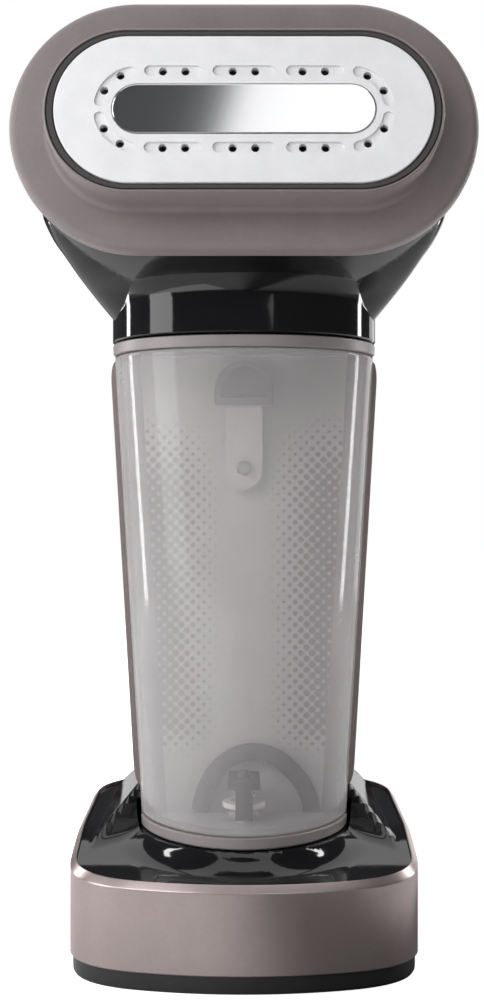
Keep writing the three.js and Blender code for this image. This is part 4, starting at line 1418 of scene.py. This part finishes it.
@dataclass
class Handle:
    """The loop handle: soft front grip, gloss rear shell, trigger and lock."""

    covers: HeadCovers = field(default_factory=HeadCovers)
    middle: float = 119.0
    half_width: float = 17.0
    half_depth: float = 15.0
    low: float = 56.3
    high: float = 252.0
    wall: float = 2.2
    gap: float = 0.3
    pin_y: float = 107.0
    pin_z: float = 214.0

    def centre(self, z: float) -> float:
        """Depth of the handle's middle at a height."""
        return self.middle - 0.0024 * max(0.0, z - 170.0) ** 2

    def row(self, z: float, inset: float, level: float) -> list[Point]:
        """The handle's section at a height."""
        flare = 6.0 * (max(0.0, 80.0 - z) / 24.0) ** 2
        width = self.half_width + flare - inset
        line = oval(width, self.half_depth - inset, 2.4, self.centre(z), 96)
        return [(x, y, level) for x, y in line]

    def bulk(self, inset: float, over: float) -> Form:
        """The handle's closed bulk, let out past its ends by `over`."""
        levels = [self.low + 24.0 * i / 10.0 for i in range(10)]
        levels += [blend(80.3, 170.0, i / 4.0) for i in range(5)]
        levels += [170.0 + (self.high - 170.0) * i / 14.0 for i in range(1, 15)]
        rows = [self.row(z, inset, z) for z in levels]
        if over:
            rows.insert(0, self.row(levels[0], inset, levels[0] - over))
            rows.append(self.row(levels[-1], inset, levels[-1] + over))
        return Form.wrapped(rows)

    def half_space(self, side: float) -> Form:
        """The room in front of (-1) or behind (1) the handle's seam."""
        levels = [self.low - 2.0, 120.0, 170.0]
        levels += [170.0 + (self.high - 168.0) * i / 14.0 for i in range(1, 15)]
        rows = []
        for z in levels:
            seam = self.centre(z) + side * self.gap / 2.0
            far = seam + side * 40.0
            rows.append([(-40.0, seam, z), (40.0, seam, z), (40.0, far, z), (-40.0, far, z)])
        return Form.wrapped(rows)

    def clearances(self) -> list[Form]:
        """What the handle's upper end is fitted round."""
        turn = PART_SPACE.inverted() @ HEAD_SPACE
        covers = self.covers
        neck = covers.shape.plan(covers.shape.high, self.gap, covers.neck_back + self.gap)
        hull = covers.hull(self.gap).settled(turn)
        return [hull, covers.funnel(self.gap), Form.raised(neck, 210.0, 256.0)]

    def shell(self, name: str, side: float, extra: Sequence[Step]) -> bpy.types.Object:
        """One half of the handle."""
        steps = [("INTERSECT", self.half_space(side))]
        steps += cutting(self.bulk(self.wall, 6.0), *self.clearances())
        return rounded(combine(name, self.bulk(0.0, 0.0), [*steps, *extra]), 0.35, 2, 55.0)

    def grip(self) -> bpy.types.Object:
        """The front half, with its trigger slot, lock window and pin bosses."""
        y, z = self.pin_y, self.pin_z
        bosses = [Form.rod(4.0, (side * 10.6, y, z), (side * 14.2, y, z), 32) for side in (-1.0, 1.0)]
        trigger_slot = Form.block((-7.5, 80.0, 176.4), (7.5, 108.0, 219.4))
        lock_window = Form.block((-4.5, 98.0, 154.4), (4.5, 108.0, 166.8))
        pin_bore = Form.rod(1.85, (-13.0, y, z), (13.0, y, z), 24)
        extra = adding(*bosses) + cutting(trigger_slot, lock_window, pin_bore)
        return self.shell("handle_grip_front", -1.0, extra)

    def build(self) -> None:
        """Makes and dresses every piece."""
        present(self.grip(), [Palette.SOFT], Rides.MAIN, ["handle_grip"])
        present(self.shell("handle_shell_rear", 1.0, []), [Palette.GLOSS], Rides.MAIN, ["handle_back"])
        lever = rounded(merged_copy("trigger", "trigger_lever"), 0.9, 4, 30.0)
        present(lever, [Palette.SATIN], Rides.TRIGGER, ["trigger"])
        lock = rounded(merged_copy("lock_slider", "lock_slide_button"), 0.15, 2, 30.0)
        present(lock, [Palette.SATIN], Rides.LOCK, ["lock_slider"])
        catch = rounded(merged_copy("tank_catch", "tank_release_tab"), 0.4, 3, 30.0)
        present(catch, [Palette.SATIN], Rides.CATCH, ["tank_catch"])


# ---------------------------------------------------------------- base


@dataclass
class Base:
    """The gloss deck, the metallic band, the black foot and the cord's inlet."""

    shape: TankShape = field(default_factory=TankShape)
    half: float = 60.2
    front: float = 7.0
    back: float = 138.0
    front_radius: float = 155.0
    foot_top: float = 6.1
    wall: float = 2.2
    gap: float = 0.3
    deck_top: float = 43.3
    hump_top: float = 56.0
    cord_height: float = 21.0
    valve_y: float = 46.0
    screw_x: float = 44.0
    screw_rows: Flat = (32.0, 110.0)

    def rim(self, y: float) -> float:
        """Height of the band's top edge at a depth."""
        return 35.9 + 0.6 * ease(y, 4.0, 22.0) + 7.5 * ease(y, 14.0, 64.0) + 1.0 * ease(y, 60.0, 138.0)

    def outline(self, inset: float) -> list[Flat]:
        """The base's plan: bowed front, straight sides and round rear corners."""
        half = self.half - inset
        radius = self.front_radius - inset
        centre = self.front + self.front_radius
        reach = 36.0 - inset / 2.0
        corner = 30.0 - inset
        arc = math.asin(reach / radius)
        foot = centre - radius * math.cos(arc)
        tangent = foot + (half - reach) * math.tan(arc)
        points = []
        for i in range(25):
            angle = -arc + 2.0 * arc * i / 24.0
            points.append((radius * math.sin(angle), centre - radius * math.cos(angle)))
        side = []
        for i in range(1, 17):
            share = i / 16.0
            x = (1 - share) ** 2 * reach + 2 * share * (1 - share) * half + share**2 * half
            y = (1 - share) ** 2 * foot + 2 * share * (1 - share) * tangent + share**2 * 36.0
            side.append((x, y))
        rear = self.back - inset - corner
        side += [(half, blend(36.0, rear, i / 16.0)) for i in range(1, 17)]
        for i in range(1, 17):
            angle = math.pi / 2.0 * i / 16.0
            side.append((half - corner + corner * math.cos(angle), rear + corner * math.sin(angle)))
        return points + side + [(-x, y) for x, y in reversed(side)]

    def row(self, inset: float, level: Callable[[float], float]) -> list[Point]:
        """The plan drawn in by an inset, at a height that depends on depth."""
        return [(x, y, level(y)) for x, y in self.outline(inset)]

    def band(self) -> bpy.types.Object:
        """The metallic band with its chamfered upper edge."""
        low = self.foot_top + self.gap
        rows = [
            self.row(0.35, lambda y: low),
            self.row(0.0, lambda y: low + 0.4),
            self.row(0.0, lambda y: self.rim(y) - 2.6),
            self.row(0.05, lambda y: self.rim(y) - 2.3),
            self.row(0.25, lambda y: self.rim(y) - 2.0),
            self.row(1.65, lambda y: self.rim(y) - 0.2),
            self.row(1.85, lambda y: self.rim(y)),
            self.row(self.wall, lambda y: self.rim(y) - 0.1),
            self.row(self.wall, lambda y: low),
        ]
        return combine("metal_band", Form.wrapped(rows, looped=True), cutting(self.cord_bore()))

    def cord_bore(self) -> Form:
        """The way through the rear wall for the cord's bushing."""
        z = self.cord_height
        return Form.rod(7.2, (0.0, self.back - 12.0, z), (0.0, self.back + 4.0, z))

    def foot_distance(self, x: float, y: float) -> float:
        """Rough distance of a place outside the tank's foot."""
        middle = self.shape.front + self.shape.depth
        across = abs(x) / self.shape.low_half
        along = max(middle - y, 0.0) / self.shape.depth
        reach = (across**1.9 + along**1.9) ** (1.0 / 1.9)
        if reach < 1e-6:
            return -self.shape.low_half
        length = math.hypot(x, max(middle - y, 0.0))
        return length * (1.0 - 1.0 / reach)

    def deck_height(self, x: float, y: float) -> float:
        """Height of the deck: a rimmed tray, a flare round the tank's foot and a rear hump."""
        tray = self.rim(y) - 1.1
        away = min(max((self.foot_distance(x, y) - 0.9) / 12.5, 0.0), 1.0)
        flare = tray + (self.deck_top - tray) * (1.0 - away) ** 2.6
        slope = 40.0 + (55.0 - abs(x)) * 1.0
        ramp = tray + (y - (52.0 - 0.45 * max(abs(x) - 38.0, 0.0))) * 0.62
        rear = 40.0 + (132.0 - y) * 3.4
        hump = min(self.hump_top, slope, ramp, rear)
        return min(soft_max((flare, hump), 0.35), self.hump_top)

    def deck(self) -> bpy.types.Object:
        """The gloss deck with the seat for the tank and the openings through it."""
        inset = self.wall + self.gap
        edge = self.outline(inset)
        centre = (0.0, 72.0)

        def sheet(drop: float, squeeze: float, shares: Sequence[float]) -> list[list[Point]]:
            """Rows of the deck from its middle outwards, lowered by a drop."""
            rows = []
            for share in shares:
                row = []
                for x, y in edge:
                    px = blend(centre[0], x, share * squeeze)
                    py = blend(centre[1], y, share * squeeze)
                    row.append((px, py, self.deck_height(px, py) - drop))
                rows.append(row)
            return rows

        shares = [i / 72.0 for i in range(73)]
        upper = sheet(0.0, 1.0, shares)
        side = [[(x, y, 8.0) for x, y in edge]]
        shell_edge = self.outline(inset + self.wall)
        inner_foot = [[(x, y, 8.0) for x, y in shell_edge]]
        lower = sheet(self.wall, 0.96, [i / 24.0 for i in range(25)])
        rows = upper + side + inner_foot + list(reversed(lower))
        seat = self.shape.plan(self.shape.low, 1.5, 68.3)
        y = self.valve_y
        boss = Form.rod(9.5, (0.0, y, 38.0), (0.0, y, 42.6))
        seal_seat = Form.rod(7.8, (0.0, y, 41.3), (0.0, y, 50.0), 48)
        outlet = Form.rod(4.3, (0.0, y, 30.0), (0.0, y, 45.0))
        handle = Handle()
        steps = cutting(Form.raised(seat, self.deck_top, 70.0)) + adding(boss)
        steps += cutting(seal_seat, outlet, handle.bulk(handle.wall, 6.0), self.cord_bore())
        return combine("gloss_deck", Form.wrapped(rows), steps)

    def foot(self) -> bpy.types.Object:
        """The black foot, hollow underneath where the screws sit."""
        top = self.foot_top
        edge = [(2.2, 0.0), (1.5, 0.25), (1.1, 0.9), (1.0, 1.8), (1.0, top)]
        slab = Form.wrapped([self.row(inset, lambda y, z=z: z) for inset, z in edge])
        cuts = [Form.raised(self.outline(5.0), 3.4, 10.0)]
        for x in (-self.screw_x, self.screw_x):
            for y in self.screw_rows:
                cuts.append(Form.rod(1.9, (x, y, -1.0), (x, y, 9.0), 24))
                cuts.append(Form.rod(3.4, (x, y, -1.0), (x, y, 2.8), 32))
        return combine("black_foot", slab, cutting(*cuts))

    def inlet(self) -> bpy.types.Object:
        """The ribbed bushing that the mains cord goes into."""
        profile = [
            (3.9, -10.0), (6.9, -10.0), (6.9, 0.3), (8.7, 0.3), (9.0, 0.6), (9.0, 1.3), (8.7, 1.7),
            (6.4, 2.2), (5.6, 2.0), (4.6, 2.2), (3.9, 1.8),
        ]
        form = Form.turned(profile, 56).tipped(-90.0)
        return form.moved((0.0, self.back, self.cord_height)).settled(PART_SPACE).thing("cord_bushing")

    def screws(self) -> list[bpy.types.Object]:
        """The four screws under the base, with cross recesses."""
        profile = [
            (0.0, 0.5), (2.4, 0.5), (2.9, 0.8), (3.0, 1.3), (1.5, 2.5), (1.5, 17.2), (0.0, 18.0),
        ]
        made = []
        for y in self.screw_rows:
            for x in (-self.screw_x, self.screw_x):
                screw = Form.turned(profile, 32).moved((x, y, 0.0))
                arms = [
                    Form.block((x - across, y - along, 0.0), (x + across, y + along, 1.3))
                    for across, along in ((1.7, 0.35), (0.35, 1.7))
                ]
                made.append(combine(f"base_screw_head_{len(made) + 1}", screw, cutting(*arms)))
        return made

    def build(self) -> None:
        """Makes and dresses every piece."""
        present(self.deck(), [Palette.GLOSS], Rides.MAIN, ["base_deck"], 28.0)
        present(self.band(), [Palette.BAND], Rides.MAIN, ["base_band"], 40.0)
        present(self.foot(), [Palette.SATIN], Rides.MAIN, ["base_foot"], 40.0)
        present(self.inlet(), [Palette.RUBBER], Rides.MAIN, ["cord_inlet"])
        for i, screw in enumerate(self.screws()):
            present(screw, [Palette.STEEL], Rides.MAIN, [f"base_screw_{i + 1}"])


# ---------------------------------------------------------------- works inside


@dataclass(frozen=True)
class Spring:
    """An upright coil spring and the joint that would move it; anchor is its fixed end."""

    node: str
    joint: str
    anchor: Point
    keep: float


@dataclass
class Works:
    """The hidden works, kept as packed and given their finishes."""

    springs: tuple[Spring, ...] = (
        Spring("valve_spring", "tank_valve_lift", (0.0, -0.0148, 0.0607), 0.5),
        Spring("button_spring", "power_press", (0.0, 0.0083, 0.2857), 0.78),
        Spring("catch_spring", "catch_lift", (0.0, -0.0068, 0.252), 0.75),
        Spring("pump_spring", "pump_stroke", (0.0, 0.0583, 0.0864), 0.72),
    )
    finishes: Mapping[Finish, Sequence[str]] = field(
        default_factory=lambda: {
            Palette.ALLOY: ("steam_generator", "generator_cover"),
            Palette.STEEL: (
                "heating_element", "heat_shield", "thermostat", "button_spring", "catch_spring",
                "valve_spring", "trigger_pin", "trigger_spring", "pump_plunger", "pump_spring",
            ),
            Palette.PALE: ("thermal_fuse", "switch_plunger", "coupling_nipple", "terminal_block"),
            Palette.BOARD: ("button_board", "circuit_board"),
            Palette.SATIN: ("microswitch", "pump_housing", "pump_cap"),
            Palette.COPPER: ("pump_coil",),
            Palette.SILICONE: ("supply_hose", "suction_hose"),
            Palette.RUBBER: ("coupling_seal",),
        }
    )

    def build(self) -> None:
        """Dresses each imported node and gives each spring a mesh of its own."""
        for finish, nodes in self.finishes.items():
            for node in nodes:
                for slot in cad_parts[node].material_slots:
                    slot.material = finish.material()
                LOG.info("%s: %s", node, finish.name)
        for spring in self.springs:
            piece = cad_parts[spring.node]
            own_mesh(piece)


# ---------------------------------------------------------------- studio


@dataclass
class Panel:
    """A soft light panel; its glow is what a mirror would show of it, with white as 1."""

    name: str
    place: Point
    target: Point
    size: Flat
    glow: float
    roll: float = 0.0

    def build(self) -> None:
        """Hangs the panel."""
        lamp = bpy.data.lights.new(self.name, "AREA")
        lamp.shape = "RECTANGLE"
        lamp.size, lamp.size_y = self.size
        lamp.energy = self.glow * math.pi * self.size[0] * self.size[1]
        holder = bpy.data.objects.new(self.name, lamp)
        aim = (Vector(self.target) - Vector(self.place)).to_track_quat("-Z", "Y")
        turn = aim.to_matrix().to_4x4() @ Matrix.Rotation(self.roll, 4, "Z")
        holder.matrix_world = Matrix.Translation(self.place) @ turn
        bpy.context.scene.collection.objects.link(holder)


@dataclass
class Studio:
    """Camera, lights, background and floor."""

    lens: float = 48.6
    eye: Point = (0.0, -0.4937, 0.166)
    shift: Flat = (-0.002, -0.012)
    floor_half: float = 3.0
    floor_tone: float = 0.85
    floor_glow: float = 0.96
    strip_tone: float = 0.1
    strip_left: Flat = (-25.0, 35.0)
    strip_right: Flat = (95.0, 150.0)
    backdrop: Colour = (1.0, 1.0, 1.0)
    ambient: Colour = (0.9, 0.92, 0.95)
    dimness: float = 0.07
    panels: tuple[Panel, ...] = (
        Panel("left_rim", (-0.85, 0.32, 0.3), (0.0, 0.0, 0.17), (0.1, 1.3), 15.0),
        Panel("right_rim", (0.85, 0.32, 0.3), (0.0, 0.0, 0.17), (0.1, 1.3), 15.0),
        Panel("left_fill", (-1.1, -0.55, 0.35), (0.0, 0.0, 0.16), (0.55, 1.2), 4.6),
        Panel("left_key", (-0.5, -0.8, 0.75), (0.0, 0.0, 0.2), (0.5, 0.5), 4.8),
        Panel("low_left", (-0.6, -0.75, 0.012), (-0.6, -0.75, 1.0), (0.9, 0.8), 1.5),
        Panel("right_back", (0.62, 1.0, 0.25), (0.0, 0.0, 0.25), (0.5, 0.9), 1.3),
        Panel("plate_card", (0.3, -1.58, 0.936), (0.0, -0.077, 0.283), (0.7, 0.9), 1.3, -0.394),
        Panel("top_soft", (0.0, -0.1, 1.5), (0.0, 0.0, 0.1), (1.4, 1.4), 1.5),
        Panel("rear_soft", (0.0, 1.0, 1.3), (0.0, 0.0, 0.15), (1.6, 0.8), 1.2),
    )

    def camera(self) -> None:
        """Stands the camera level in front of the object."""
        data = bpy.data.cameras.new("camera")
        data.lens = self.lens
        data.shift_x, data.shift_y = self.shift
        holder = bpy.data.objects.new("camera", data)
        holder.location = self.eye
        holder.rotation_euler = (math.pi / 2.0, 0.0, 0.0)
        bpy.context.scene.collection.objects.link(holder)
        bpy.context.scene.camera = holder

    def surroundings(self) -> None:
        """White behind the object and dim light from all round."""
        world = bpy.data.worlds.new("surroundings")
        bpy.context.scene.world = world
        graph = Graph(world)
        seen = graph.node("ShaderNodeBackground", None, {"Color": (*self.backdrop, 1.0)})
        tones = {"Color": (*self.ambient, 1.0), "Strength": self.dimness}
        lit = graph.node("ShaderNodeBackground", None, tones)
        ray = graph.node("ShaderNodeLightPath", output="Is Camera Ray")
        choice = graph.node("ShaderNodeMixShader", None, {0: ray, 1: lit, 2: seen})
        graph.node("ShaderNodeOutputWorld", None, {"Surface": choice})
        bpy.context.scene.view_settings.view_transform = "Standard"

    def floor(self) -> None:
        """A pale floor with a dim strip to the right that keeps the base's front from going flat."""
        mesh = bmesh.new()
        bmesh.ops.create_grid(mesh, x_segments=1, y_segments=1, size=self.floor_half)
        thing = Form(mesh).thing("floor")
        graph = Graph(bpy.data.materials.new("pale_floor"))
        across = graph.axis(graph.place(), "X")
        shade = across.ramp(*self.strip_left) * (1.0 - across.ramp(*self.strip_right))
        tint = graph.mix(shade, (self.floor_tone,) * 3, (self.strip_tone,) * 3)
        seen = graph.node("ShaderNodeLightPath", output="Is Camera Ray")
        sockets = {"Base Color": tint, "Roughness": 0.8, "Specular IOR Level": 0.1}
        sockets |= {"Emission Color": seen * self.floor_glow, "Emission Strength": 1.0}
        thing.data.materials.append(graph.finish(sockets))

    def build(self) -> None:
        """Sets the studio up."""
        self.camera()
        self.surroundings()
        self.floor()
        for panel in self.panels:
            panel.build()


def main() -> None:
    """Builds the steamer and its studio."""
    logging.basicConfig(level=logging.INFO, format="%(name)s: %(message)s")
    for assembly in (Studio(), HeadFront(), HeadCovers(), Tank(), Column(), Handle(), Base(), Works()):
        assembly.build()
        LOG.info("%s ready", type(assembly).__name__)


if __name__ == "__main__":
    main()
